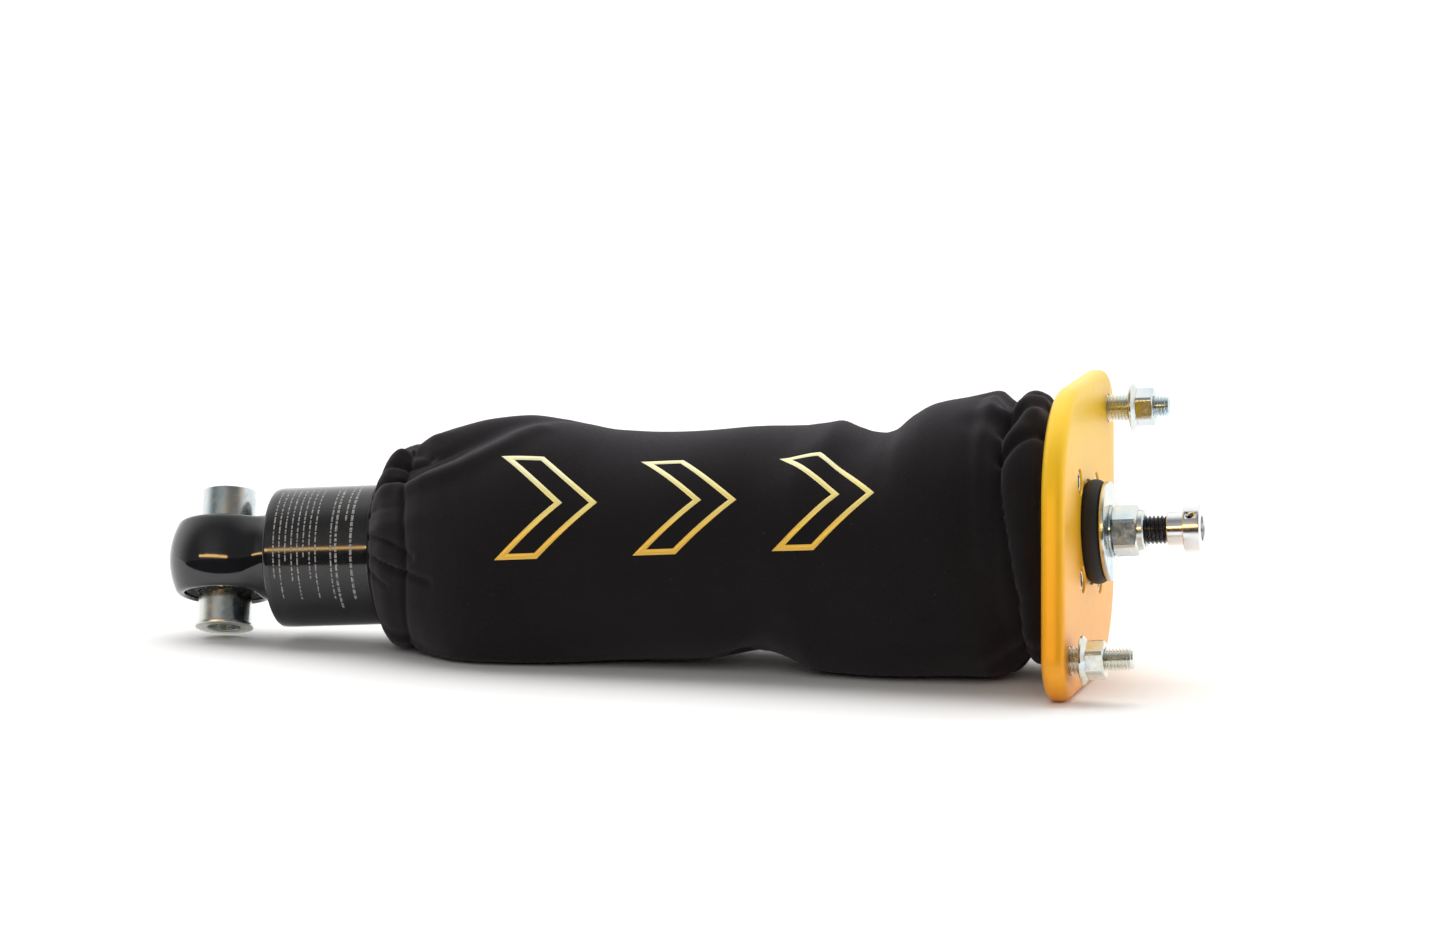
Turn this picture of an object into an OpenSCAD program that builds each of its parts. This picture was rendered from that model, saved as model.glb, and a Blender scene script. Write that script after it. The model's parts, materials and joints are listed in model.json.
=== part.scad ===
// Coilover: threaded monotube damper, coil spring, stretch cover and two-stud top mount.
// The damper's axis is +X, from the lower eye (origin) to the top mount. +Z is up.

/* [Lower eye and bracket] */
// Width of the eye, across its barrel
eye_d = 43.4; // [42:0.2:46]
// Height of the eye along its sleeve
eye_h = 28; // [27:1:32]
// Outer diameter of the rubber bush in the eye
bush_d = 31; // [29:1:32]
// Outer diameter of the steel sleeve
sleeve_d = 20.4; // [19:0.2:22]
// Bore of the steel sleeve
sleeve_bore = 12.2; // [10.2:0.2:14]
// Length of the steel sleeve
sleeve_l = 53; // [50:1:58]
// Roll of the sleeve about the damper's axis, from straight down towards the front
eye_roll = 21; // [0:1:30]
// Outer diameter of the bracket's cup
cup_d = 52.4; // [51:0.2:54]
// Distance from the eye's centre to the cup's closed end
cup_start = 21.7; // [21:0.1:24]
// Distance from the eye's centre to the cup's open end
cup_end = 76; // [70:1:80]

/* [Damper] */
// Outer diameter of the threaded tube
tube_d = 46; // [45:0.2:46.4]
// Bore of the tube
tube_bore = 40; // [39:0.2:40.4]
// Diameter of the piston rod
rod_d = 12.5; // [12:0.1:13]
// Distance from the eye's centre to the tube's closed end
tube_start = 36; // [35:1:38]
// Distance from the eye's centre to the tube's open end
tube_end = 188; // [186:1:190]

/* [Spring] */
// Inner diameter of the coil spring
spring_id = 56; // [55:0.5:57]
// Diameter of the spring's wire
wire_d = 7.5; // [6:0.5:8]
// Turns of the spring, closed ends included
spring_turns = 7.5; // [6.5:0.25:8]
// Distance from the eye's centre to the perch's spring face
perch_face = 126; // [124:1:130]
// Distance from the eye's centre to the upper seat's spring face
seat_face = 300; // [298:1:302]

/* [Top mount] */
// Distance from the eye's centre to the plate's outer face
plate_face = 332; // [330:1:334]
// Thickness of the plate
plate_t = 8.8; // [8.6:0.2:10]
// Radius of the plate's round middle
plate_r = 54; // [50:1:56]
// Radius of the plate's two ears
ear_r = 14.5; // [12:0.5:16]
// Distance between the two studs
stud_pitch = 134; // [126:1:140]
// Roll of the stud line about the damper's axis, from straight down towards the front
stud_roll = 54; // [0:1:90]
// Diameter of the studs' thread
stud_d = 8; // [8:0.5:8]
// Outer diameter of the rubber bushes in the plate
rubber_d = 38.5; // [36:0.5:39]

/* [Adjuster] */
// Diameter of the knob's head
knob_d = 18.6; // [16:0.2:20]
// Diameter of the knob's neck
knob_neck_d = 13; // [12:0.5:14]
// Roll of the knob's set screw about the damper's axis, from straight down towards the front
knob_screw_roll = 130; // [0:1:180]

/* [Cover] */
// Thickness of the cover's cloth in its solid
cover_t = 2.5; // [2:0.5:3]
// Height of the damper's axis above the ground below the eye, as it lies
rest_low = 28.6; // [28:0.1:28.7]
// Height of the damper's axis above the ground below the plate, as it lies
rest_high = 54; // [53:0.5:56]

/* [Hidden] */
$fn = 96;

fit = 0.05;            // radial gap of parts that fit in each other
slide = 0.1;           // radial gap of a thread or a sliding fit between two bodies
eps = 0.01;            // overlap that makes cuts clean

plate_back = plate_face - plate_t;
plate_edge_r = 3.6;    // rounding of the plate's edges
plate_hole_r = 12.5;   // hole for the rubbers' necks
recess_r = rubber_d / 2 + 0.3;
recess_t = 1;          // depth of the recess that seats the upper rubber
rubber_h = 7.2;        // height of the upper rubber, recess included
rubber_top = plate_face - recess_t + rubber_h;
washer_t = 2;
washer_d = 36.6;
rod_step = 310;        // the rod's shoulder, below the lower washer
rod_thread_d = 12;
rod_nut_start = rubber_top + washer_t;
rod_nut_hex = 10.3;    // height of the nut's hexagon
rod_nut_af = 17;
rod_thread_end = 353;
rod_end = 361;
rod_tip_d = 10.4;
needle_d = 4.1;
needle_bore = 4.3;
bolt_circle_r = 25;    // seat screws
screw_r = 3;
screw_head_r = 4.6;
screw_head_h = 3;

seat_r = 39.7;
seat_spigot_h = 8;
seat_cavity = 306;     // floor of the seat's cavity
spigot_r = spring_id / 2 - 0.3;
perch_r = 34.6;
perch_start = 108;
ring_t = 8;
ring_r = 29;
perch_ring_start = perch_start - ring_t - 0.5;

piston_start = 152;
piston_h = 12;
shim_t = 2.5;
spigot_d = 8;          // the rod's end that carries the piston
rod_start = 141;
rod_shoulder = piston_start + piston_h + shim_t;
guide_start = 170;
guide_end = 182;
gland_end = 190;
cap_h = 8;
float_start = 54;
float_h = 12;
bump_end = 290.6;
bump_start = 261;
bump_r = 17;
boot_start = 226;
boot_r = 26.5;
boot_t = 1.2;

stud_end = plate_face + 23;
collar_r = 5.1;
stud_neck_r = stud_d / 2 - 0.4;
stud_head_r = 6.4;
stud_head_h = 1.5;
collar_h = 2.2;
nut_af = 13;
nut_flange_r = 8.95;
nut_h = 8.8;
nut_starts = [plate_face + 4, plate_face + 8.8];   // lower and upper stud

knob_start = rod_end + 0.2;
head_start = 367.6;
knob_end = 373.8;

// Points the local +Z axis along the damper, local +X down and local -Y to the front.
module along() {
    rotate([0, 90, 0]) children();
}

// Turns a part about the damper's axis from straight down towards the front.
module rolled(angle) {
    along() rotate([0, 0, -angle]) children();
}

// A tube or ring from one place to another along the local Z axis.
module ring(start, stop, outer_r, inner_r) {
    translate([0, 0, start]) difference() {
        cylinder(h = stop - start, r = outer_r);
        translate([0, 0, -1]) cylinder(h = stop - start + 2, r = inner_r);
    }
}

// A ring with rounded outer corners.
module soft_ring(start, stop, outer_r, inner_r, corner_r) {
    rotate_extrude() difference() {
        translate([inner_r, start]) square([outer_r - inner_r, stop - start]);
        for (end = [start, stop]) {
            towards = end == start ? 1 : -1;
            translate([outer_r, end]) difference() {
                square(2 * corner_r, center = true);
                translate([-corner_r, towards * corner_r]) circle(corner_r, $fn = 48);
            }
        }
    }
}

// A hexagonal prism by its width across flats.
module hexagon(start, stop, across_flats) {
    translate([0, 0, start])
        cylinder(h = stop - start, d = across_flats / cos(30), $fn = 6);
}

// A spanner ring: a round nut with notches for a hook spanner.
module spanner_ring(start, stop, outer_r, notches) {
    difference() {
        ring(start, stop, outer_r, tube_d / 2 + slide);
        for (i = [0 : notches - 1])
            rotate([0, 0, i * 360 / notches])
                translate([outer_r - 2.5, -3, start - 1]) cube([5, 6, stop - start + 2]);
    }
}

// ---- lower eye and bracket ----

// Side of the eye: an arc that swells from its ends to its middle.
module eye_barrel() {
    swell = 3.6;
    half = eye_h / 2;
    arc_r = (half * half + swell * swell) / (2 * swell);
    rotate_extrude() intersection() {
        translate([0, -half]) square([eye_d, eye_h]);
        translate([eye_d / 2 - arc_r, 0]) circle(arc_r, $fn = 180);
    }
}

module lower_bracket() {
    neck_r = 16.3;
    floor_t = 9;
    lead = 1.5;
    color("#151518") difference() {
        union() {
            rolled(eye_roll) rotate([0, 90, 0]) eye_barrel();
            along() translate([0, 0, 8]) cylinder(h = cup_start - 8 + eps, r = neck_r);
            along() rotate_extrude() polygon([
                [0, cup_start], [cup_d / 2 - lead, cup_start],
                [cup_d / 2, cup_start + lead],
                [cup_d / 2, cup_end - 1], [cup_d / 2 - 1, cup_end], [0, cup_end]
            ]);
        }
        rolled(eye_roll) rotate([0, 90, 0])
            cylinder(h = 2 * eye_d, d = bush_d, center = true);
        along() translate([0, 0, cup_start + floor_t])
            cylinder(h = cup_end, r = tube_d / 2 + slide);
    }
}

module eye_bush() {
    inset = 1.5;
    color("#1c1c1e") rolled(eye_roll) rotate([0, 90, 0])
        ring(-eye_h / 2 + inset, eye_h / 2 - inset, bush_d / 2 - fit, sleeve_d / 2 + fit);
}

module eye_sleeve() {
    lip_r = 11;
    lip_t = 1.4;
    half = sleeve_l / 2;
    color("#c9ccd0") rolled(eye_roll) rotate([0, 90, 0]) difference() {
        union() {
            translate([0, 0, -half]) cylinder(h = sleeve_l, d = sleeve_d);
            translate([0, 0, half - lip_t]) cylinder(h = lip_t, r = lip_r);
        }
        translate([0, 0, -half - 1]) cylinder(h = sleeve_l + 2, d = sleeve_bore);
    }
}

module cup_label() {
    label_t = 0.15;
    color("#101012") along() ring(cup_start + 2.5, 62, cup_d / 2 + label_t, cup_d / 2);
}

module bracket_lock_ring() {
    color("#b58a2a") along() spanner_ring(cup_end + 0.1, cup_end + ring_t, ring_r, 6);
}

// ---- damper body ----

module damper_tube() {
    color("#3a3b3f") along() ring(tube_start, tube_end, tube_d / 2, tube_bore / 2);
}

module tube_end_cap() {
    color("#8b8d92") along() difference() {
        translate([0, 0, tube_start]) cylinder(h = cap_h, d = tube_bore - 2 * fit);
        translate([0, 0, tube_start - 1]) cylinder(h = cap_h + 2, r = 3);
    }
}

module gas_fill_screw() {
    color("#c9ccd0") along() difference() {
        translate([0, 0, tube_start]) cylinder(h = 6, r = 3 - fit);
        hexagon(tube_start - 1, tube_start + 3, 3);
    }
}

module rod_guide() {
    color("#8b8d92") along() ring(guide_start, guide_end, tube_bore / 2 - fit, rod_d / 2 + 1.2);
}

module guide_bush() {
    color("#5a6a4a") along()
        ring(guide_start, guide_end, rod_d / 2 + 1.15, rod_d / 2 + fit);
}

module rod_seal() {
    color("#202020") along()
        ring(guide_end + 0.1, tube_end - 2, tube_bore / 2 - 4, rod_d / 2 + fit);
}

// Cap that screws into the tube's mouth and covers the seal.
module gland_nut() {
    color("#b58a2a") along() difference() {
        union() {
            ring(guide_end + 0.1, tube_end, tube_bore / 2 - fit, tube_bore / 2 - 3.9);
            ring(tube_end, gland_end, tube_d / 2, rod_d / 2 + 3.1);
            ring(tube_end - 1.9, tube_end + eps, tube_bore / 2 - 2, rod_d / 2 + 3.1);
        }
        for (angle = [0 : 90 : 270])
            rotate([0, 0, angle]) translate([17, 0, tube_end])
                cylinder(h = 3, r = 1.8);
    }
}

module wiper_seal() {
    color("#202020") along()
        ring(tube_end - 1.9, gland_end, rod_d / 2 + 3.05, rod_d / 2 + fit);
}

// ---- floating piston between oil and gas ----

module floating_piston() {
    groove = 3;
    color("#a9abb0") along() difference() {
        translate([0, 0, float_start]) cylinder(h = float_h, d = tube_bore - 2 * fit);
        ring(float_start + 4.5, float_start + 4.5 + groove, tube_bore, tube_bore / 2 - 2.6);
        translate([0, 0, float_start - eps]) cylinder(h = 4, r = tube_bore / 2 - 6);
    }
}

module floating_piston_seal() {
    color("#202020") along()
        ring(float_start + 4.6, float_start + 7.4, tube_bore / 2 - 0.03, tube_bore / 2 - 2.5);
}

// ---- spring and perch ----

module spring_perch() {
    notches = 8;
    color("#b58a2a") along() union() {
        difference() {
            ring(perch_start, perch_face, perch_r, tube_d / 2 + slide);
            for (i = [0 : notches - 1])
                rotate([0, 0, i * 360 / notches])
                    translate([perch_r - 3, -3, perch_start - 1]) cube([6, 6, 11]);
        }
        ring(perch_face - eps, perch_face + 7, spigot_r, tube_d / 2 + slide);
    }
}

module perch_lock_ring() {
    color("#b58a2a") along() spanner_ring(perch_ring_start, perch_start - 0.2, ring_r, 6);
}

// Height of the spring's centre line after a number of turns: closed at both ends, open between.
function spring_height(turn) =
    let (dead = 0.9,
         closed = wire_d + 0.5,
         span = seat_face - perch_face - wire_d - 0.4,
         pitch = (span - 2 * dead * closed) / (spring_turns - 2 * dead))
    turn < dead ? turn * closed
    : turn > spring_turns - dead ? span - (spring_turns - turn) * closed
    : dead * closed + (turn - dead) * pitch;

// A round bar along a coil: rings of points, joined side to side and closed at both ends.
module coil_spring() {
    sides = 10;
    steps = 22;
    coil_r = (spring_id + wire_d) / 2;
    count = round(spring_turns * steps);
    points = [
        for (i = [0 : count])
            let (turn = i / steps, angle = 360 * turn,
                 z = perch_face + 0.2 + wire_d / 2 + spring_height(turn))
            for (j = [0 : sides - 1])
                let (around = 360 * j / sides,
                     r = coil_r + wire_d / 2 * cos(around))
                [r * cos(angle), r * sin(angle), z + wire_d / 2 * sin(around)]
    ];
    walls = [
        for (i = [0 : count - 1], j = [0 : sides - 1])
            let (a = i * sides + j, b = i * sides + (j + 1) % sides)
            [a, a + sides, b + sides, b]
    ];
    ends = [
        [for (j = [0 : sides - 1]) j],
        [for (j = [sides - 1 : -1 : 0]) count * sides + j]
    ];
    color("#1d1d20") along() polyhedron(points, concat(walls, ends), convexity = 12);
}

// ---- rod and piston ----

module piston_rod() {
    color("#d9dadd") along() difference() {
        union() {
            translate([0, 0, rod_start]) cylinder(h = rod_shoulder - rod_start + eps, d = spigot_d);
            translate([0, 0, rod_shoulder]) cylinder(h = rod_step - rod_shoulder, d = rod_d);
            translate([0, 0, rod_step - eps])
                cylinder(h = rod_thread_end - rod_step + eps, d = rod_thread_d);
            translate([0, 0, rod_thread_end - eps])
                cylinder(h = rod_end - rod_thread_end + eps, d = rod_tip_d);
        }
        translate([0, 0, rod_start + 8]) cylinder(h = rod_end, d = needle_bore);
        translate([0, 0, rod_start - 1]) cylinder(h = 12, d = 2.4);
    }
}

module main_piston() {
    color("#a9abb0") along() difference() {
        ring(piston_start, piston_start + piston_h, tube_bore / 2 - 0.6, spigot_d / 2 + fit);
        ring(piston_start + 3, piston_start + 9, tube_bore, tube_bore / 2 - 1.6);
        for (angle = [0 : 60 : 300])
            rotate([0, 0, angle]) translate([12.5, 0, piston_start - 1])
                cylinder(h = piston_h + 2, r = 2.2);
    }
}

module piston_band() {
    color("#3c4a56") along()
        ring(piston_start + 3.1, piston_start + 8.9, tube_bore / 2 - 0.04, tube_bore / 2 - 1.5);
}

module compression_shims() {
    color("#8f9298") along() union() {
        ring(piston_start - 0.9, piston_start, 15, spigot_d / 2 + fit);
        ring(piston_start - 1.7, piston_start - 0.9, 12, spigot_d / 2 + fit);
        ring(piston_start - shim_t, piston_start - 1.7, 9, spigot_d / 2 + fit);
    }
}

module rebound_shims() {
    top = piston_start + piston_h;
    color("#8f9298") along() union() {
        ring(top, top + 0.9, 15, spigot_d / 2 + fit);
        ring(top + 0.9, top + 1.7, 12, spigot_d / 2 + fit);
        ring(top + 1.7, top + shim_t, 9, spigot_d / 2 + fit);
    }
}

module piston_nut() {
    color("#c9ccd0") along() difference() {
        hexagon(piston_start - shim_t - 7, piston_start - shim_t, 13);
        translate([0, 0, rod_start - 1]) cylinder(h = 14, d = spigot_d + 2 * fit);
    }
}

// Stops the rod against the guide when the damper is fully out.
module topout_ring() {
    color("#e4e0d2") along() ring(rod_shoulder + 0.1, guide_start - 0.4, 10, rod_d / 2 + fit);
}

module bump_stop() {
    waist = 3;
    color("#c8b04a") along() rotate_extrude() difference() {
        translate([rod_d / 2 + fit, bump_start]) square([bump_r - rod_d / 2, bump_end - bump_start]);
        for (z = [bump_start + 10, bump_start + 20])
            translate([bump_r + waist, z]) circle(2 * waist, $fn = 48);
    }
}

// Plastic sleeve with folds that hangs over the rod and the tube's mouth.
module dust_boot() {
    folds = 7;
    pitch = (bump_end - 3 - boot_start) / folds;
    depth = 2;
    outline = [
        for (i = [0 : folds]) each i < folds
            ? [[boot_r - depth, boot_start + i * pitch], [boot_r, boot_start + (i + 0.5) * pitch]]
            : [[boot_r - depth, boot_start + i * pitch]]
    ];
    inside = [for (i = [len(outline) - 1 : -1 : 0]) outline[i] - [boot_t, 0]];
    color("#2a2a2c") along() union() {
        rotate_extrude() polygon(concat(outline, inside));
        ring(bump_end - 3, bump_end, boot_r - depth, bump_r + 0.2);
    }
}

// ---- bushes between rod and plate ----

module bush_spacer() {
    color("#c9ccd0") along()
        ring(rod_step + washer_t, rubber_top, 8, rod_thread_d / 2 + fit);
}

module lower_washer() {
    color("#c9ccd0") along()
        ring(rod_step, rod_step + washer_t, washer_d / 2, rod_thread_d / 2 + fit);
}

module upper_washer() {
    color("#c9ccd0") along()
        ring(rubber_top, rubber_top + washer_t, washer_d / 2, rod_thread_d / 2 + fit);
}

module rod_nut() {
    color("#b9bec4") along() difference() {
        union() {
            ring(rod_nut_start, rod_nut_start + 0.8, rod_nut_af / 2 + 1, rod_thread_d / 2);
            hexagon(rod_nut_start + 0.7, rod_nut_start + rod_nut_hex, rod_nut_af);
            ring(rod_nut_start + rod_nut_hex - eps, rod_thread_end - 0.2,
                 rod_nut_af / 2 - 0.7, rod_thread_d / 2);
        }
        translate([0, 0, rod_nut_start - 1]) cylinder(h = 20, r = rod_thread_d / 2 + fit);
    }
}

module lower_mount_rubber() {
    color("#222224") along()
        soft_ring(rod_step + washer_t, plate_back - fit, rubber_d / 2 - 0.1, 8 + 0.8, 2.5);
}

module upper_mount_rubber() {
    color("#222224") along() union() {
        soft_ring(plate_face - recess_t, rubber_top, rubber_d / 2, 8 + 0.8, 3);
        ring(plate_back + 0.5, plate_face - recess_t + eps, plate_hole_r - 0.1, 8 + 0.8);
    }
}

// ---- top mount ----

// A round slab with rounded edges.
module rounded_disc(r) {
    rotate_extrude($fn = 64) {
        square([r - plate_edge_r, plate_t]);
        for (z = [plate_edge_r, plate_t - plate_edge_r])
            translate([r - plate_edge_r, z]) circle(plate_edge_r, $fn = 32);
    }
}

// The plate before drilling: its round middle and two ears, joined by straight sides.
module plate_blank() {
    hull() {
        rounded_disc(plate_r);
        for (side = [-1, 1])
            translate([side * stud_pitch / 2, 0, 0]) rounded_disc(ear_r);
    }
}

module top_plate() {
    color("#f0a818") rolled(stud_roll) translate([0, 0, plate_back]) difference() {
        plate_blank();
        translate([0, 0, -1]) cylinder(h = plate_t + 2, r = plate_hole_r);
        translate([0, 0, plate_t - recess_t]) cylinder(h = plate_t, r = recess_r);
        for (side = [-1, 1]) translate([side * stud_pitch / 2, 0, 0]) {
            translate([0, 0, -1]) cylinder(h = plate_t + 2, r = stud_d / 2 + fit);
            translate([0, 0, plate_t - 1.5]) cylinder(h = plate_t, r = collar_r + fit);
            translate([0, 0, -1]) cylinder(h = 1 + stud_head_h, r = stud_head_r + fit);
        }
        for (angle = [0 : 90 : 270]) rotate([0, 0, angle]) translate([bolt_circle_r, 0, 0]) {
            translate([0, 0, -1]) cylinder(h = plate_t + 2, r = screw_r + 0.2);
            translate([0, 0, plate_t - screw_head_h - 0.3])
                cylinder(h = plate_t, r = screw_head_r + 0.2);
        }
    }
}

module upper_spring_seat() {
    groove = 4;
    color("#2b2c2f") rolled(stud_roll) difference() {
        union() {
            translate([0, 0, seat_face - seat_spigot_h])
                cylinder(h = seat_spigot_h + eps, r = spigot_r);
            translate([0, 0, seat_face]) cylinder(h = 7, r = seat_r);
            translate([0, 0, seat_face + 7 - eps])
                cylinder(h = plate_back - seat_face - 13 + 2 * eps, r = seat_r - groove);
            translate([0, 0, plate_back - 6]) cylinder(h = 6, r = seat_r);
        }
        translate([0, 0, seat_face - seat_spigot_h - 1]) cylinder(h = 30, r = 13);
        translate([0, 0, seat_cavity]) cylinder(h = 30, r = rubber_d / 2 + 0.6);
        for (angle = [0 : 90 : 270]) rotate([0, 0, angle])
            translate([bolt_circle_r, 0, seat_cavity]) cylinder(h = 30, r = screw_r + fit);
    }
}

module seat_screws() {
    head_top = plate_face - 0.3;
    color("#c9ccd0") rolled(stud_roll) for (angle = [0 : 90 : 270])
        rotate([0, 0, angle]) translate([bolt_circle_r, 0, 0]) difference() {
            union() {
                translate([0, 0, seat_cavity + 2])
                    cylinder(h = plate_face - seat_cavity - 4, r = screw_r);
                translate([0, 0, head_top - screw_head_h])
                    cylinder(h = screw_head_h, r = screw_head_r);
            }
            hexagon(head_top - 2, head_top + 1, 5);
        }
}

// The thread inside each nut is drawn at its pitch radius, the free end beyond it at its full radius.
module mount_studs() {
    color("#c9ccd0") rolled(stud_roll) for (i = [0, 1])
        translate([(i == 0 ? 1 : -1) * stud_pitch / 2, 0, 0]) {
            translate([0, 0, plate_back]) cylinder(h = stud_head_h, r = stud_head_r);
            translate([0, 0, plate_back]) cylinder(h = plate_t, r = stud_neck_r);
            translate([0, 0, plate_face - 1.5]) cylinder(h = 1.5 + collar_h, r = collar_r);
            translate([0, 0, plate_face]) cylinder(h = nut_starts[i] + nut_h - plate_face + 0.5,
                                                   r = stud_neck_r);
            translate([0, 0, nut_starts[i] + nut_h + 0.5])
                cylinder(h = stud_end - nut_starts[i] - nut_h - 0.5, r = stud_d / 2);
        }
}

module stud_nuts() {
    flange_t = 1.2;
    cone_h = 1.6;
    color("#dfe3e6") rolled(stud_roll) for (i = [0, 1])
        translate([(i == 0 ? 1 : -1) * stud_pitch / 2, 0, nut_starts[i]]) difference() {
            union() {
                cylinder(h = flange_t, r = nut_flange_r);
                translate([0, 0, flange_t - eps])
                    cylinder(h = cone_h, r1 = nut_flange_r, r2 = nut_af / 2);
                hexagon(flange_t, nut_h, nut_af);
            }
            translate([0, 0, -1]) cylinder(h = nut_h + 2, r = stud_neck_r);
        }
}

// ---- rebound adjuster ----

module adjuster_knob() {
    socket_d = 9.2;
    color("#e3e5e8") along() difference() {
        union() {
            translate([0, 0, knob_start]) cylinder(h = head_start - knob_start + eps, d = knob_neck_d);
            soft_ring(head_start, knob_end, knob_d / 2, 1, 0.6);
        }
        translate([0, 0, knob_start - 1]) cylinder(h = 20, r = needle_d / 2 + fit);
        translate([0, 0, knob_end - 3]) cylinder(h = 4, d = socket_d);
        rotate([0, 0, -knob_screw_roll]) translate([0, 0, (head_start + knob_end) / 2 - 0.5])
            rotate([0, 90, 0]) cylinder(h = knob_d, r = 1.45);
    }
}

module knob_set_screw() {
    color("#3a3a3c") rolled(knob_screw_roll)
        translate([0, 0, (head_start + knob_end) / 2 - 0.5])
            rotate([0, 90, 0]) translate([0, 0, needle_d / 2 + 0.2]) difference() {
                cylinder(h = 4.5, r = 1.4);
                hexagon(3, 5, 1.3);
            }
}

module adjuster_needle() {
    tip_l = 2;
    color("#8f9298") along() union() {
        translate([0, 0, rod_start + 9]) cylinder(h = tip_l + eps, r1 = 0.6, r2 = needle_d / 2);
        translate([0, 0, rod_start + 9 + tip_l])
            cylinder(h = knob_end - 4 - rod_start - 9 - tip_l, d = needle_d);
    }
}

// ---- cover ----

// Stations along the cover: place, height above the axis, depth below it, half width.
cover_shape = [
    [62, 29.5, 29.5, 29.5], [66, 33.5, 33.5, 33.5], [72, 37.5, 36, 38.5], [82, 41, 38, 43.5],
    [90, 45.5, 39.5, 48], [102, 48.5, 41, 52], [120, 50, 42, 53.5], [134, 48.3, 42.5, 53],
    [150, 44.5, 43, 52], [170, 43, 43, 51], [192, 43, 41.5, 51], [208, 43, 39.5, 51],
    [222, 43, 43.5, 51.5], [238, 43.8, 48, 53], [254, 42.5, 50, 54], [264, 43.5, 51, 54],
    [276, 49, 52, 53.5], [290, 51.6, 52, 52.5], [298, 52, 52, 51.5], [304, 47.5, 48, 47.5],
    [309, 51, 50, 50], [314, 51.3, 50, 50], [318, 48.5, 47, 47]
];
cover_sides = 40;
elastic_r = 1.3;        // the elastics' cord
cuff_room = 1.8;        // lets the seat tilt inside the upper cuff

// Height of the ground under a place on the axis, with a little room above it.
function ground(x) = -rest_low - (rest_high - rest_low) * x / (plate_face - plate_t / 2) + 0.4;

// A point of the cover's cross section, in cup-down frame [down, across, along].
function cover_point(s, angle, inward) =
    let (c = cos(angle), n = sin(angle),
         tall = (c > 0 ? s[2] : s[1]) - inward,
         down = min(tall * c, -ground(s[0]) - inward * 0.55),
         flat = max(0, tall * c - down))
    [down, (s[3] - inward + 0.25 * flat) * n, s[0]];

// The cuffs' inside is tight: the lower on the cup, the upper on the spring seat.
function cover_inward(i, s) =
    i <= 1 ? s[3] - cup_d / 2 - 0.6
    : i >= len(cover_shape) - 4 ? s[3] - seat_r - cuff_room
    : cover_t;

module cover() {
    rings = len(cover_shape);
    outer = [
        for (s = cover_shape, j = [0 : cover_sides - 1]) cover_point(s, 360 * j / cover_sides, 0)
    ];
    inner = [
        for (i = [0 : rings - 1], j = [0 : cover_sides - 1])
            let (s = cover_shape[i])
            cover_point(s, 360 * j / cover_sides, cover_inward(i, s))
    ];
    n = cover_sides;
    base = rings * n;
    walls = [
        for (i = [0 : rings - 2], j = [0 : n - 1])
            let (a = i * n + j, b = i * n + (j + 1) % n)
            each [[a, b, b + n, a + n], [base + a, base + a + n, base + b + n, base + b]]
    ];
    lips = [
        for (j = [0 : n - 1])
            let (k = (j + 1) % n, last = (rings - 1) * n)
            each [[k, j, base + j, base + k],
                  [last + j, last + k, base + last + k, base + last + j]]
    ];
    color("#141416") along() polyhedron(concat(outer, inner), concat(walls, lips), convexity = 8);
}

module lower_cover_elastic() {
    color("#28282a") along() translate([0, 0, cover_shape[0][0] - 2]) rotate_extrude()
        translate([cup_d / 2 + elastic_r + 0.4, 0]) circle(elastic_r, $fn = 24);
}

module upper_cover_elastic() {
    color("#28282a") along() translate([0, 0, plate_back - 2]) rotate_extrude()
        translate([seat_r + elastic_r + 0.3, 0]) circle(elastic_r, $fn = 24);
}

lower_bracket();
eye_bush();
eye_sleeve();
cup_label();
bracket_lock_ring();
damper_tube();
tube_end_cap();
gas_fill_screw();
rod_guide();
guide_bush();
rod_seal();
gland_nut();
wiper_seal();
floating_piston();
floating_piston_seal();
spring_perch();
perch_lock_ring();
coil_spring();
piston_rod();
main_piston();
piston_band();
compression_shims();
rebound_shims();
piston_nut();
topout_ring();
bump_stop();
dust_boot();
bush_spacer();
lower_washer();
upper_washer();
rod_nut();
lower_mount_rubber();
upper_mount_rubber();
top_plate();
upper_spring_seat();
seat_screws();
mount_studs();
stud_nuts();
adjuster_knob();
knob_set_screw();
adjuster_needle();
cover();
lower_cover_elastic();
upper_cover_elastic();
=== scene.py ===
"""Coilover in a stretch sleeve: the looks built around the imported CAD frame.

Row frame, metres: +X runs along the damper from the lower eye to the top plate, +Z is up and
-Y is the front.
Helper functions take millimetres. An angle round the damper is in degrees, from straight down (0)
through the front (90) and the top (180) to the back (270).
"""
import json
import math

import bmesh
import bpy
import numpy as np
from mathutils import Matrix, Vector


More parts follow.
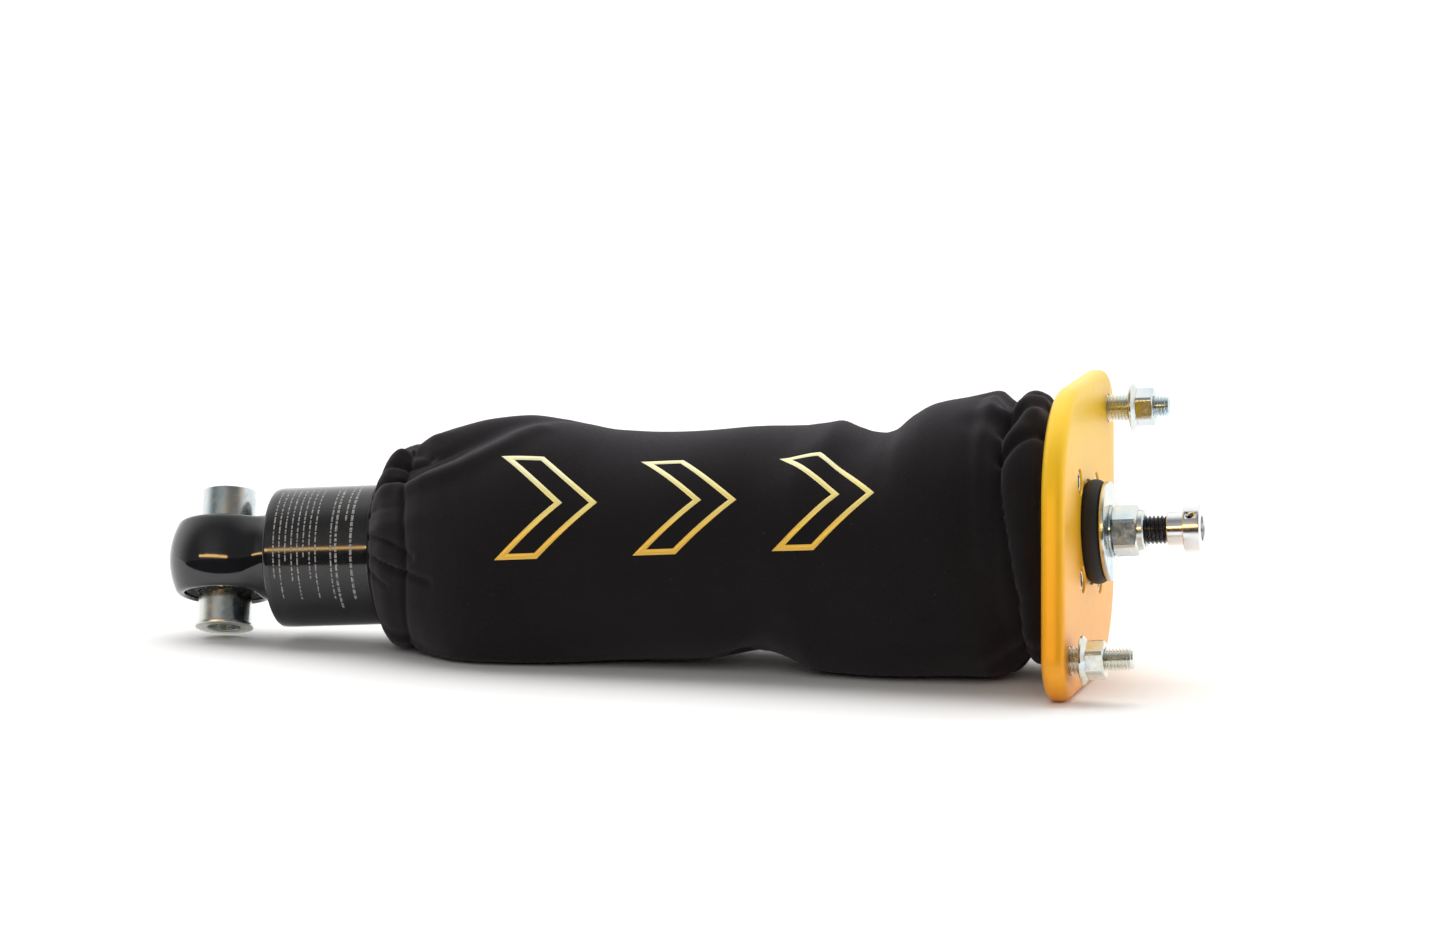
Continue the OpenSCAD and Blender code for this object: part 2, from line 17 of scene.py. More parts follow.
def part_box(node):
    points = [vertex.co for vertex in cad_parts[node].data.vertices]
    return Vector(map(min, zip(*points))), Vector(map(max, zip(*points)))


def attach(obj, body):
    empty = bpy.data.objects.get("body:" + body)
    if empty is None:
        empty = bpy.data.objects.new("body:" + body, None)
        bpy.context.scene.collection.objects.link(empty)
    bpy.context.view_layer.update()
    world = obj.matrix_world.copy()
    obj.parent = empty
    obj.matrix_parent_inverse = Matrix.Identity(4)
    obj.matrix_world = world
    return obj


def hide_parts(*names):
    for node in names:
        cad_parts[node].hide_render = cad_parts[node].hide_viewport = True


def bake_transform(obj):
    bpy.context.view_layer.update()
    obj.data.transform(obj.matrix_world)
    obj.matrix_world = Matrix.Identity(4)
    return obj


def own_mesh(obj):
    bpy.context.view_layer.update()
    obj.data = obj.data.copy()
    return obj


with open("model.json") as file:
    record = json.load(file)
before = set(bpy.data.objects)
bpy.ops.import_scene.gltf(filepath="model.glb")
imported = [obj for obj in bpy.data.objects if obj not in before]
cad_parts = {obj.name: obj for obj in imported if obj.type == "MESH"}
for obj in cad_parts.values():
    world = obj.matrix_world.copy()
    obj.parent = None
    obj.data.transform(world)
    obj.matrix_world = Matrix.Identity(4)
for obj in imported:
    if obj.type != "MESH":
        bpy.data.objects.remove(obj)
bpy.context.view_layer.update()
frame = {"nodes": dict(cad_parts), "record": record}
MM = 0.001
RNG = np.random.default_rng(7)


def span(node, axis=0):
    """Lowest and highest place of a CAD node along one axis, in millimetres."""
    low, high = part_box(node)
    return low[axis] / MM, high[axis] / MM


# ---- driving dimensions, mm and degrees ----

PLATE_BACK, PLATE_FACE = span("top_plate")
CUP_START = 21.7
CUP_END = span("lower_bracket")[1]
CUP_R = 26.2
TUBE_R = span("damper_tube", 1)[1]
EYE_ROLL = 21.0
EYE_R = 21.7
EYE_HALF = 14.0
EYE_SWELL = 3.6
BUSH_R = 15.5
NECK_R = 16.3
SLEEVE_R = 10.2
SLEEVE_BORE_R = 6.1
SLEEVE_HALF = 26.5
STUD_ROLL = 54.0
STUD_ARM = 67.0
EAR_R = 14.5
PLATE_R = 54.0
PLATE_EDGE = 3.6
SCREW_CIRCLE = 25.0
STUD_R = 4.0
STUD_PITCH = 1.25
NUT_AF = 13.0
ROD_NUT_AF = 17.0
ROD_THREAD_R = 5.2
ROD_PITCH = 1.5
FLOOR_AT_EYE = 29.2
FLOOR_AT_PLATE = 54.0
CLOTH = 3.0

# ---- camera: place in metres, angles in degrees, lens in mm ----

CAMERA_PLACE = (0.7408, -2.2995, 0.3044)
CAMERA_TURN_TIP_ROLL = (13.35, -6.618, -3.57)
CAMERA_LENS = 159.45

# ---- light, in the world's own units ----

BACK_LIGHT = 0.95
ROOM_LIGHT = 0.16
WINDOW_LIGHT = 0.24
WINDOW_SIDE = 0.25

# ---- mesh helpers ----


def finish_mesh(name, points, faces, sharp=35.0):
    """A smooth-shaded object from points in mm, with hard edges above an angle."""
    mesh = bpy.data.meshes.new(name)
    places = [tuple(MM * float(c) for c in point) for point in points]
    mesh.from_pydata(places, [], [tuple(map(int, face)) for face in faces])
    edit = bmesh.new()
    edit.from_mesh(mesh)
    bmesh.ops.remove_doubles(edit, verts=edit.verts, dist=1e-7)
    bmesh.ops.recalc_face_normals(edit, faces=edit.faces)
    limit = math.radians(sharp)
    for face in edit.faces:
        face.smooth = True
    for edge in edit.edges:
        edge.smooth = edge.calc_face_angle(0.0) < limit
    edit.to_mesh(mesh)
    edit.free()
    piece = bpy.data.objects.new(name, mesh)
    bpy.context.scene.collection.objects.link(piece)
    return piece


def grid_faces(rows, columns, close_rows=False):
    """Quads over a grid of points, stored row by row; every row closes on itself."""
    quads = []
    for i in range(rows if close_rows else rows - 1):
        here, there = i * columns, ((i + 1) % rows) * columns
        for j in range(columns):
            k = (j + 1) % columns
            quads.append((here + j, there + j, there + k, here + k))
    return quads


def polar(x, angle, radius):
    """Row-frame points, in mm, at places along the damper, angles from down, and radii."""
    turn = np.radians(angle)
    return np.stack(np.broadcast_arrays(x, -radius * np.sin(turn), -radius * np.cos(turn)), axis=-1)


class Axis:
    """A local axis: points given as (along, around, radius) become row-frame points in mm."""

    def __init__(self, origin=(0, 0, 0), along=(1, 0, 0), zero=(0, 0, -1)):
        self.origin = np.array(origin, float)
        self.along = np.array(along, float) / np.linalg.norm(along)
        zero = np.array(zero, float) - np.dot(zero, self.along) * self.along
        self.zero = zero / np.linalg.norm(zero)
        self.side = np.cross(self.along, self.zero)

    def points(self, along, around, radius):
        turn = np.radians(around)
        along, turn, radius = np.broadcast_arrays(along, turn, radius)
        flat = np.cos(turn)[..., None] * self.zero + np.sin(turn)[..., None] * self.side
        return self.origin + along[..., None] * self.along + radius[..., None] * flat


DAMPER = Axis()


def down_front(roll):
    """The unit vector at a roll from straight down towards the front."""
    return np.array([0.0, -math.sin(math.radians(roll)), -math.cos(math.radians(roll))])


SLEEVE = Axis(along=down_front(EYE_ROLL), zero=(1, 0, 0))
STUDS = [Axis(origin=s * STUD_ARM * down_front(STUD_ROLL)) for s in (1, -1)]


def lathe(name, profile, axis=DAMPER, sides=128, closed=True, sharp=35.0):
    """A turned shape: profile is (along, radius) in mm, one closed loop unless closed is False."""
    profile = np.array(profile, float)
    around = np.arange(sides) * 360.0 / sides
    points = axis.points(profile[:, 0][:, None], around[None, :], profile[:, 1][:, None])
    faces = grid_faces(len(profile), sides, close_rows=closed)
    return finish_mesh(name, points.reshape(-1, 3), faces, sharp)


def rounded(corners, radius, steps=4):
    """A closed (along, radius) outline with rounded corners; a list gives each its own radius."""
    corners = [np.array(c, float) for c in corners]
    radii = radius if hasattr(radius, "__len__") else [radius] * len(corners)
    outline = []
    for i, corner in enumerate(corners):
        before, after = corners[i - 1], corners[(i + 1) % len(corners)]
        if radii[i] == 0:
            outline.append(corner)
            continue
        a = (before - corner) / np.linalg.norm(before - corner)
        b = (after - corner) / np.linalg.norm(after - corner)
        cut = radii[i]
        for k in range(steps + 1):
            t = k / steps
            start, end = corner + a * cut, corner + b * cut
            outline.append((1 - t) ** 2 * start + 2 * t * (1 - t) * corner + t**2 * end)
    return outline


def join(name, pieces):
    """Several objects as one piece."""
    for piece in bpy.context.selected_objects:
        piece.select_set(False)
    for piece in pieces:
        piece.select_set(True)
    bpy.context.view_layer.objects.active = pieces[0]
    bpy.ops.object.join()
    pieces[0].name = name
    pieces[0].data.name = name
    return pieces[0]


def thread(name, axis, start, end, radius, pitch, depth, phase=0.0, chamfer=1.2, core=0.0,
           sides=48):
    """A screw thread as one closed surface: a true helix with chamfered ends."""
    steps = int(round((end - start) / pitch * 10))
    along = np.linspace(start, end, steps + 1)[:, None]
    around = (np.arange(sides) * 360.0 / sides)[None, :]
    turn = ((along - start) / pitch - around / 360.0 + phase) % 1.0
    crest = np.clip(1.35 - 2.7 * np.abs(turn - 0.5) * 1.25, 0.0, 1.0)
    taper = np.minimum(1.0, np.minimum(along - start, end - along) / chamfer)
    rim = radius - depth * (1.0 - crest) - (1.0 - taper) * depth * 0.9
    points = [axis.points(along, around, rim).reshape(-1, 3)]
    rows = len(along)
    for place in (end, start):
        points.append(axis.points(place, around[0], np.full(sides, max(core, 0.02))))
    faces = grid_faces(rows, sides)
    last, tip, root = (rows - 1) * sides, rows * sides, (rows + 1) * sides
    for j in range(sides):
        k = (j + 1) % sides
        faces.append((last + j, tip + j, tip + k, last + k))
        faces.append((j, k, root + k, root + j))
    return finish_mesh(name, np.concatenate(points), faces, 50.0)


def hex_radius(around, across_flats, ease=0.35):
    """Radius of a hexagon with slightly eased corners."""
    lean = (around % 60.0) - 30.0
    flat = across_flats / 2 / np.cos(np.radians(lean))
    corner = across_flats / 2 / math.cos(math.radians(30)) - ease
    return np.minimum(flat, corner)


def hex_nut(name, axis, start, end, across_flats, bore, base=(), chamfer_both=True, collar=None):
    """A nut: its base profile, a hexagon with turned chamfers, an optional collar and a bore."""
    sides = 180
    around = np.arange(sides) * 360.0 / sides
    hexagon = hex_radius(around, across_flats)
    turned = across_flats / 2 * 0.975
    slope = math.tan(math.radians(30))
    rise = np.maximum(0.0, hexagon - turned) * slope
    rings = [(np.full(sides, float(x)), np.full(sides, float(r))) for x, r in base]
    low = start if not base else base[-1][0]
    if chamfer_both:
        rings.append((np.full(sides, low), np.full(sides, turned)))
    rings.append((low + (rise if chamfer_both else 0.0 * rise), hexagon))
    rings.append((end - rise, hexagon))
    rings.append((np.full(sides, end), np.full(sides, turned)))
    if collar:
        height, radius = collar
        rings += [(np.full(sides, end), np.full(sides, radius)),
                  (np.full(sides, end + height - 0.5), np.full(sides, radius)),
                  (np.full(sides, end + height), np.full(sides, radius - 0.5))]
        end = end + height
    rings.append((np.full(sides, end), np.full(sides, bore + 0.6)))
    rings.append((np.full(sides, end - 0.6), np.full(sides, bore)))
    foot = base[0][0] if base else start
    rings.append((np.full(sides, foot), np.full(sides, bore)))
    points = np.concatenate([axis.points(x, around, r) for x, r in rings])
    return finish_mesh(name, points, grid_faces(len(rings), sides, close_rows=True), 24.0)


def bevel(piece, width, segments=2, angle=35.0):
    """Breaks a piece's hard edges, as real parts have them."""
    modifier = piece.modifiers.new("edges", "BEVEL")
    modifier.width = width * MM
    modifier.segments = segments
    modifier.limit_method = "ANGLE"
    modifier.angle_limit = math.radians(angle)
    modifier.harden_normals = True
    return piece


# ---- smooth castings from a distance field ----


def soft_min(a, b, blend):
    h = np.clip(0.5 + 0.5 * (b - a) / blend, 0.0, 1.0)
    return b + (a - b) * h - blend * h * (1.0 - h)


def soft_max(a, b, blend):
    return -soft_min(-a, -b, blend)


def settle(field, points, reach):
    """Moves points onto the surface where the field is zero."""
    small = 0.02
    for _ in range(5):
        value = field(points)
        changes = [field(points + small * e) - field(points - small * e) for e in np.eye(3)]
        slope = np.stack(changes, axis=1) / (2 * small)
        size = np.maximum((slope**2).sum(axis=1), 0.05)
        step = -value[:, None] * slope / size[:, None]
        length = np.linalg.norm(step, axis=1, keepdims=True)
        points = points + step * np.minimum(1.0, 0.5 * reach / np.maximum(length, 1e-9))
    return points


def cast(name, field, low, high, step, sharp=60.0):
    """The field's zero surface: a point in each crossed cell, a quad across each crossed edge."""
    ticks = [np.arange(a, b + step, step) for a, b in zip(low, high)]
    grid = np.stack(np.meshgrid(*ticks, indexing="ij"), axis=-1)
    inside = (field(grid.reshape(-1, 3)) < 0).reshape(grid.shape[:3])
    cells = [n - 1 for n in inside.shape]
    count = np.zeros(cells, int)
    for corner in np.ndindex(2, 2, 2):
        count += inside[tuple(slice(o, o + n) for o, n in zip(corner, cells))]
    crossed = (count > 0) & (count < 8)
    index = np.full(cells, -1)
    index[crossed] = np.arange(crossed.sum())
    points = settle(field, np.array(low) + (np.argwhere(crossed) + 0.5) * step, step)
    faces = []
    for axis in range(3):
        u, v = [(axis + 1) % 3, (axis + 2) % 3]
        near, far = [slice(1, -1)] * 3, [slice(1, -1)] * 3
        near[axis], far[axis] = slice(None, -1), slice(1, None)
        a, b = inside[tuple(near)], inside[tuple(far)]
        for place in np.argwhere(a != b):
            base = place.copy()
            base[u] += 1
            base[v] += 1
            ring = [base.copy() for _ in range(4)]
            ring[1][u] -= 1
            ring[2][u] -= 1
            ring[2][v] -= 1
            ring[3][v] -= 1
            quad = [index[tuple(cell)] for cell in ring]
            faces.append(quad if a[tuple(place)] else quad[::-1])
    return finish_mesh(name, points, faces, sharp)


# ---- materials ----


class Nodes:
    """Short calls that add nodes to a tree."""

    def __init__(self, tree):
        self.tree = tree

    def node(self, kind, values=(), **settings):
        made = self.tree.nodes.new(kind)
        for key, value in settings.items():
            setattr(made, key, value)
        for socket, value in dict(values).items():
            if isinstance(value, bpy.types.NodeSocket):
                self.tree.links.new(value, made.inputs[socket])
            else:
                made.inputs[socket].default_value = value
        return made

    def ramp(self, value, stops):
        made = self.node("ShaderNodeValToRGB", {"Fac": value})
        ramp = made.color_ramp
        while len(ramp.elements) < len(stops):
            ramp.elements.new(0.5)
        for element, (place, color) in zip(ramp.elements, stops):
            element.position = place
            element.color = (*color, 1.0)
        return made.outputs["Color"]

    def spread(self, value, low, high, start=0.0, end=1.0, **settings):
        """Maps start to low and end to high."""
        limits = {"From Min": start, "From Max": end, "To Min": low, "To Max": high}
        made = self.node("ShaderNodeMapRange", {"Value": value, **limits}, **settings)
        return made.outputs["Result"]

    def math(self, operation, a, b=0.0):
        made = self.node("ShaderNodeMath", operation=operation)
        for socket, value in zip(made.inputs, (a, b)):
            if isinstance(value, bpy.types.NodeSocket):
                self.tree.links.new(value, socket)
            else:
                socket.default_value = value
        return made.outputs["Value"]


class Shade(Nodes):
    """A material. Its textures use the object's own coordinates, in metres."""

    def __init__(self, name, color, roughness, metallic=0.0):
        self.material = bpy.data.materials.new(name)
        self.material.use_nodes = True
        super().__init__(self.material.node_tree)
        self.surface = self.tree.nodes["Principled BSDF"]
        self.set("Base Color", (*color, 1.0))
        self.set("Roughness", roughness)
        self.set("Metallic", metallic)
        self.coords = self.tree.nodes.new("ShaderNodeTexCoord").outputs["Object"]
        self.heights = []

    def set(self, socket, value):
        self.surface.inputs[socket].default_value = value

    def feed(self, socket, output):
        self.tree.links.new(output, self.surface.inputs[socket])

    def tint(self, value, stops):
        """Base colour from a value through a colour ramp."""
        self.feed("Base Color", self.ramp(value, stops))

    def noise(self, scale, detail=4.0, roughness=0.55, stretch=(1, 1, 1), distortion=0.0):
        place = self.node("ShaderNodeMapping", {"Vector": self.coords, "Scale": stretch})
        return self.node("ShaderNodeTexNoise", {
            "Vector": place.outputs["Vector"], "Scale": scale, "Detail": detail,
            "Roughness": roughness, "Distortion": distortion}).outputs["Fac"]

    def bands(self, vector, scale, distortion, direction, detail=2.0):
        values = {"Vector": vector, "Scale": scale, "Distortion": distortion, "Detail": detail}
        made = self.node("ShaderNodeTexWave", values, wave_type="BANDS", bands_direction=direction)
        return made.outputs["Fac"]

    def raise_by(self, height, distance, strength=1.0):
        """Adds a bump of a height map over a distance in metres."""
        values = {"Height": height, "Distance": distance, "Strength": strength}
        if self.heights:
            values["Normal"] = self.heights[-1]
        made = self.node("ShaderNodeBump", values)
        self.heights.append(made.outputs["Normal"])
        self.feed("Normal", made.outputs["Normal"])


def gloss_paint():
    """Thick gloss black enamel on a casting: faint orange peel and a few dust specks."""
    s = Shade("gloss_black_paint", (0.010, 0.010, 0.012), 0.07)
    s.set("Specular IOR Level", 0.55)
    s.set("Coat Weight", 0.35)
    s.set("Coat Roughness", 0.04)
    dust = s.noise(900.0, 3.0, 0.6)
    s.tint(dust, [(0.0, (0.009, 0.009, 0.011)), (0.70, (0.011, 0.011, 0.013)),
                  (0.80, (0.05, 0.048, 0.045))])
    s.feed("Roughness", s.spread(s.noise(60.0, 5.0), 0.05, 0.12))
    s.raise_by(s.noise(260.0, 2.0, 0.4), 0.00002, 0.35)
    return s.material


def zinc_plate():
    """Bright zinc plating: blue and straw tints that drift, with fine handling marks."""
    s = Shade("zinc_plate", (0.78, 0.80, 0.82), 0.2, 1.0)
    drift = s.noise(55.0, 3.0, 0.5, distortion=0.6)
    s.tint(drift, [(0.30, (0.52, 0.64, 0.70)), (0.45, (0.70, 0.75, 0.75)),
                   (0.56, (0.80, 0.78, 0.68)), (0.68, (0.64, 0.72, 0.75))])
    s.feed("Roughness", s.spread(s.noise(350.0, 5.0, 0.6), 0.12, 0.34, 0.25, 0.75))
    s.raise_by(s.noise(1500.0, 3.0, 0.6, (0.3, 1.0, 1.0)), 0.00001, 0.3)
    return s.material


def gold_anodised():
    """Satin gold anodising over machined aluminium, with painted light: the colour runs from a
    deeper orange at the lower side (painted shade) to paler gold at the top (painted highlight).
    """
    s = Shade("gold_anodised", (0.99, 0.46, 0.01), 0.46, 0.32)
    s.set("Coat Weight", 0.4)
    s.set("Coat Roughness", 0.32)
    height = s.node("ShaderNodeSeparateXYZ", {"Vector": s.coords}).outputs["Z"]
    cloud = s.math("MULTIPLY", s.noise(18.0, 3.0, 0.5), 0.12)
    # painted shade and highlight: the colour follows height, deeper low down and paler high up,
    # with a faint random cloud on top
    level = s.math("ADD", s.spread(height, 0.0, 1.0, -0.056, 0.056), cloud)
    s.tint(level, [(0.05, (0.92, 0.36, 0.003)), (0.45, (1.0, 0.46, 0.003)),
                   (0.95, (1.0, 0.62, 0.006))])
    s.feed("Roughness", s.spread(s.noise(220.0, 4.0, 0.6), 0.42, 0.54, 0.3, 0.7))
    s.raise_by(s.noise(420.0, 2.0, 0.5), 0.000006, 0.3)
    return s.material


def turned_metal(name, color, low, high, spacing=900.0):
    """Bare metal with the fine rings of a lathe along X."""
    s = Shade(name, color, (low + high) / 2, 1.0)
    rings = s.bands(s.coords, spacing, 0.6, "X")
    s.feed("Roughness", s.spread(s.noise(160.0, 4.0), low, high, 0.3, 0.7))
    shade = [c * 0.9 for c in color]
    s.tint(s.noise(90.0, 3.0), [(0.3, shade), (0.7, color)])
    s.raise_by(rings, 0.000006, 0.4)
    return s.material


def black_metal(name, roughness=0.36, color=(0.022, 0.022, 0.026)):
    """Black oxide or black anodising: dark satin metal with rubbed places."""
    s = Shade(name, color, roughness, 0.75)
    wear = s.noise(240.0, 5.0, 0.62)
    rubbed = [c * 3.2 for c in color]
    s.tint(wear, [(0.35, color), (0.66, rubbed)])
    s.feed("Roughness", s.spread(wear, roughness + 0.06, roughness - 0.10, 0.3, 0.7))
    s.raise_by(s.noise(1300.0, 2.0), 0.00001, 0.3)
    return s.material


def rubber():
    """Moulded rubber: matte, with a dusty bloom and a fine grain."""
    color, roughness = (0.009, 0.009, 0.0095), 0.62
    s = Shade("black_rubber", color, roughness)
    s.set("Specular IOR Level", 0.42)
    bloom = s.noise(130.0, 5.0, 0.6)
    pale = [c * 1.9 + 0.004 for c in color]
    s.tint(bloom, [(0.35, color), (0.75, pale)])
    s.feed("Roughness", s.spread(bloom, roughness - 0.08, roughness + 0.14, 0.3, 0.7))
    s.raise_by(s.noise(2200.0, 2.0, 0.5), 0.00002, 0.35)
    return s.material


def neoprene():
    """Knit-faced neoprene: ribs of small loops, a soft sheen, lint and faint rubbed patches."""
    s = Shade("neoprene_knit", (0.006, 0.005, 0.006), 0.86)
    s.set("Specular IOR Level", 0.22)
    s.set("Sheen Weight", 0.15)
    s.set("Sheen Roughness", 0.45)
    s.set("Sheen Tint", (0.84, 0.76, 0.86, 1.0))
    cloth = s.node("ShaderNodeUVMap", uv_map="cloth").outputs["UV"]
    wales = s.bands(cloth, 410.0, 1.1, "X", 1.0)
    courses = s.bands(cloth, 520.0, 1.4, "Y", 1.0)
    loops = s.math("MULTIPLY", wales, courses)
    patches = s.noise(26.0, 4.0, 0.6)
    lint = s.noise(1600.0, 2.0, 0.6)
    base = s.ramp(patches, [(0.3, (0.0042, 0.0034, 0.0044)), (0.7, (0.0074, 0.0060, 0.0078))])
    black = (0.0, 0.0, 0.0)
    speck = s.ramp(lint, [(0.0, black), (0.735, black), (0.80, (0.10, 0.085, 0.09))])
    mixed = s.node("ShaderNodeMix", data_type="RGBA", blend_type="ADD")
    mixed.inputs["Factor"].default_value = 1.0
    s.tree.links.new(base, mixed.inputs["A"])
    s.tree.links.new(speck, mixed.inputs["B"])
    s.feed("Base Color", mixed.outputs["Result"])
    s.feed("Roughness", s.spread(loops, 0.93, 0.78))
    s.raise_by(loops, 0.00012, 0.45)
    s.raise_by(s.noise(420.0, 4.0, 0.6), 0.00010, 0.25)
    return s.material


def gold_foil():
    """Heat-pressed gold print with a fine crackle; its colour carries painted light: a pale painted
    highlight at the sleeve's top, deeper painted shade below.
    """
    s = Shade("gold_foil", (0.80, 0.55, 0.16), 0.42, 0.25)
    height = s.node("ShaderNodeSeparateXYZ", {"Vector": s.coords}).outputs["Z"]
    cloud = s.math("MULTIPLY", s.noise(90.0), 0.10)
    # painted highlight and shade: paler gold higher up, deeper gold lower down, with a faint random
    # cloud
    level = s.math("ADD", s.spread(height, 0.0, 1.0, -0.004, 0.036), cloud)
    s.tint(level, [(0.05, (0.66, 0.36, 0.04)), (0.45, (0.86, 0.58, 0.10)),
                   (0.80, (0.98, 0.86, 0.34)), (1.0, (1.0, 0.95, 0.58))])
    s.feed("Roughness", s.spread(s.noise(700.0, 4.0), 0.3, 0.5, 0.3, 0.7))
    s.raise_by(s.noise(1400.0, 3.0), 0.00003, 0.4)
    return s.material


def label_film():
    """Glossy black film, slightly rippled where it is wrapped."""
    s = Shade("label_film", (0.012, 0.012, 0.014), 0.1)
    s.set("Specular IOR Level", 0.55)
    s.tint(s.noise(500.0, 3.0), [(0.3, (0.010, 0.010, 0.012)), (0.75, (0.018, 0.017, 0.018))])
    s.feed("Roughness", s.spread(s.noise(45.0, 4.0), 0.07, 0.15))
    s.raise_by(s.noise(70.0, 2.0), 0.00003, 0.25)
    return s.material


def label_ink():
    """Pale print on the film, a little broken where it is thin."""
    s = Shade("label_ink", (0.50, 0.48, 0.47), 0.4)
    s.tint(s.noise(1800.0, 3.0), [(0.35, (0.12, 0.115, 0.115)), (0.6, (0.42, 0.40, 0.38))])
    s.raise_by(s.noise(2500.0, 2.0), 0.00001, 0.3)
    return s.material


def plain_plastic(name, color, roughness):
    """Moulded plastic or coating with a fine texture."""
    s = Shade(name, color, roughness)
    deep = [c * 0.8 for c in color]
    s.tint(s.noise(80.0, 4.0), [(0.3, deep), (0.7, color)])
    s.feed("Roughness", s.spread(s.noise(300.0, 3.0), roughness - 0.07, roughness + 0.07, 0.3, 0.7))
    s.raise_by(s.noise(1700.0, 2.0), 0.00002, 0.35)
    return s.material


def cellular_foam():
    """Micro-cellular polyurethane: an open, pitted skin."""
    s = Shade("bump_foam", (0.60, 0.47, 0.17), 0.8)
    cells = s.node("ShaderNodeTexVoronoi", {"Vector": s.coords, "Scale": 1100.0})
    s.tint(s.noise(60.0, 4.0), [(0.3, (0.45, 0.33, 0.10)), (0.7, (0.66, 0.52, 0.20))])
    s.raise_by(cells.outputs["Distance"], 0.0002, 0.5)
    return s.material


def braided_cord():
    """Elastic cord with a braided jacket."""
    s = Shade("elastic_cord", (0.03, 0.03, 0.032), 0.8)
    braid = s.bands(s.coords, 620.0, 0.5, "DIAGONAL")
    s.tint(braid, [(0.2, (0.02, 0.02, 0.022)), (0.8, (0.06, 0.06, 0.064))])
    s.raise_by(braid, 0.0002, 0.5)
    return s.material


def studio_floor():
    """Matte white sweep with a barely visible tone."""
    s = Shade("studio_floor", (0.93, 0.93, 0.93), 0.9)
    s.set("Specular IOR Level", 0.0)
    s.tint(s.noise(2.0, 2.0), [(0.3, (0.95, 0.945, 0.94)), (0.7, (0.96, 0.955, 0.945))])
    return s.material


MATERIALS = {
    "bracket_paint": gloss_paint(),
    "gold_anodised": gold_anodised(),
    "black_anodised": black_metal("black_anodised", 0.34),
    "bare_aluminium": turned_metal("turned_aluminium", (0.86, 0.87, 0.88), 0.12, 0.26),
    "zinc_steel": zinc_plate(),
    "chromed_rod": turned_metal("hard_chrome", (0.84, 0.85, 0.87), 0.05, 0.12, 2500.0),
    "shim_steel": turned_metal("ground_steel", (0.52, 0.53, 0.55), 0.22, 0.38),
    "spring_coat": plain_plastic("spring_powder_coat", (0.020, 0.020, 0.024), 0.35),
    "black_rubber": rubber(),
    "bump_foam": cellular_foam(),
    "boot_plastic": plain_plastic("boot_plastic", (0.035, 0.035, 0.038), 0.5),
    "bearing_plastic": plain_plastic("bearing_plastic", (0.22, 0.28, 0.28), 0.42),
    "label_film": label_film(),
    "neoprene": neoprene(),
    "elastic_cord": braided_cord(),
}
BLACK_OXIDE = black_metal("black_oxide_thread", 0.3)
GOLD_FOIL = gold_foil()
LABEL_INK = label_ink()


def dress(piece, slot, body, replaced=(), material=None):
    """Gives a piece its material, its body and the CAD nodes that it stands for."""
    piece.data.materials.clear()
    piece.data.materials.append(material or MATERIALS[slot])
    if body:
        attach(piece, body)
    if replaced:
        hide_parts(*replaced)
    return piece


def dress_cad_nodes():
    """Every CAD node that stays gets its slot's procedural material."""
    slots = {part["node"]: part["material_slot"] for part in frame["record"]["subparts"]}
    for name, piece in frame["nodes"].items():
        piece.data.materials.clear()
        piece.data.materials.append(MATERIALS[slots[name]])
        for face in piece.data.polygons:
            face.material_index = 0


# ---- camera, floor and light ----


def set_camera():
    """A long lens, turned and tipped as the view of the object asks."""
    turn, tip, roll = (math.radians(angle) for angle in CAMERA_TURN_TIP_ROLL)
    data = bpy.data.cameras.new("camera")
    data.sensor_width = 36.0
    data.lens = CAMERA_LENS
    data.clip_end = 60.0
    camera = bpy.data.objects.new("camera", data)
    bpy.context.scene.collection.objects.link(camera)
    turned = Matrix.Rotation(turn, 4, "Z") @ Matrix.Rotation(math.pi / 2 + tip, 4, "X")
    place = Matrix.Translation(CAMERA_PLACE)
    camera.matrix_world = place @ turned @ Matrix.Rotation(roll, 4, "Z")
    bpy.context.scene.camera = camera


def floor_height(x):
    """Height of the floor under a place on the damper, in mm: the part rests on eye and plate."""
    return -FLOOR_AT_EYE - (FLOOR_AT_PLATE - FLOOR_AT_EYE) * x / ((PLATE_BACK + PLATE_FACE) / 2)


def lay_floor():
    reach = 14000.0
    ends = ((-reach, -reach), (reach, -reach), (reach, reach), (-reach, reach))
    corners = [(x, y, floor_height(x)) for x, y in ends]
    floor = finish_mesh("studio_floor", corners, [(0, 1, 2, 3)])
    floor.data.materials.append(studio_floor())


def area_light(name, place, target, size, power, color, seen_in, height=None):
    """A soft light panel that lights diffuse surfaces, or shows in glossy ones."""
    data = bpy.data.lights.new(name, "AREA")
    data.energy = power
    data.color = color
    data.size = size
    if height:
        data.shape = "RECTANGLE"
        data.size_y = height
    light = bpy.data.objects.new(name, data)
    light.location = place
    light.rotation_euler = (Vector(target) - Vector(place)).to_track_quat("-Z", "Y").to_euler()
    light.visible_diffuse = seen_in == "diffuse"
    light.visible_glossy = seen_in == "glossy"
    bpy.context.scene.collection.objects.link(light)


def sky(tree, background):
    """Light by direction: white behind, a dim room in front with one soft window in it."""
    s = Nodes(tree)
    smooth = {"interpolation_type": "SMOOTHSTEP"}
    direction = s.node("ShaderNodeTexCoord").outputs["Generated"]
    parts = s.node("ShaderNodeSeparateXYZ", {"Vector": direction}).outputs
    back = s.spread(parts["Y"], 0.0, 1.0, -0.45, 0.30, **smooth)
    sideways = s.math("ABSOLUTE", s.math("ADD", parts["X"], WINDOW_SIDE))
    window = s.spread(sideways, 1.0, 0.0, 0.10, 0.55, **smooth)
    low = s.spread(parts["Z"], 1.0, 0.3, 0.55, 0.95, **smooth)
    lit = s.math("MULTIPLY", s.math("MULTIPLY", window, low), WINDOW_LIGHT)
    front = s.math("ADD", lit, ROOM_LIGHT)
    level = s.math("ADD", s.math("MULTIPLY", back, BACK_LIGHT), front)
    tree.links.new(level, background.inputs["Strength"])


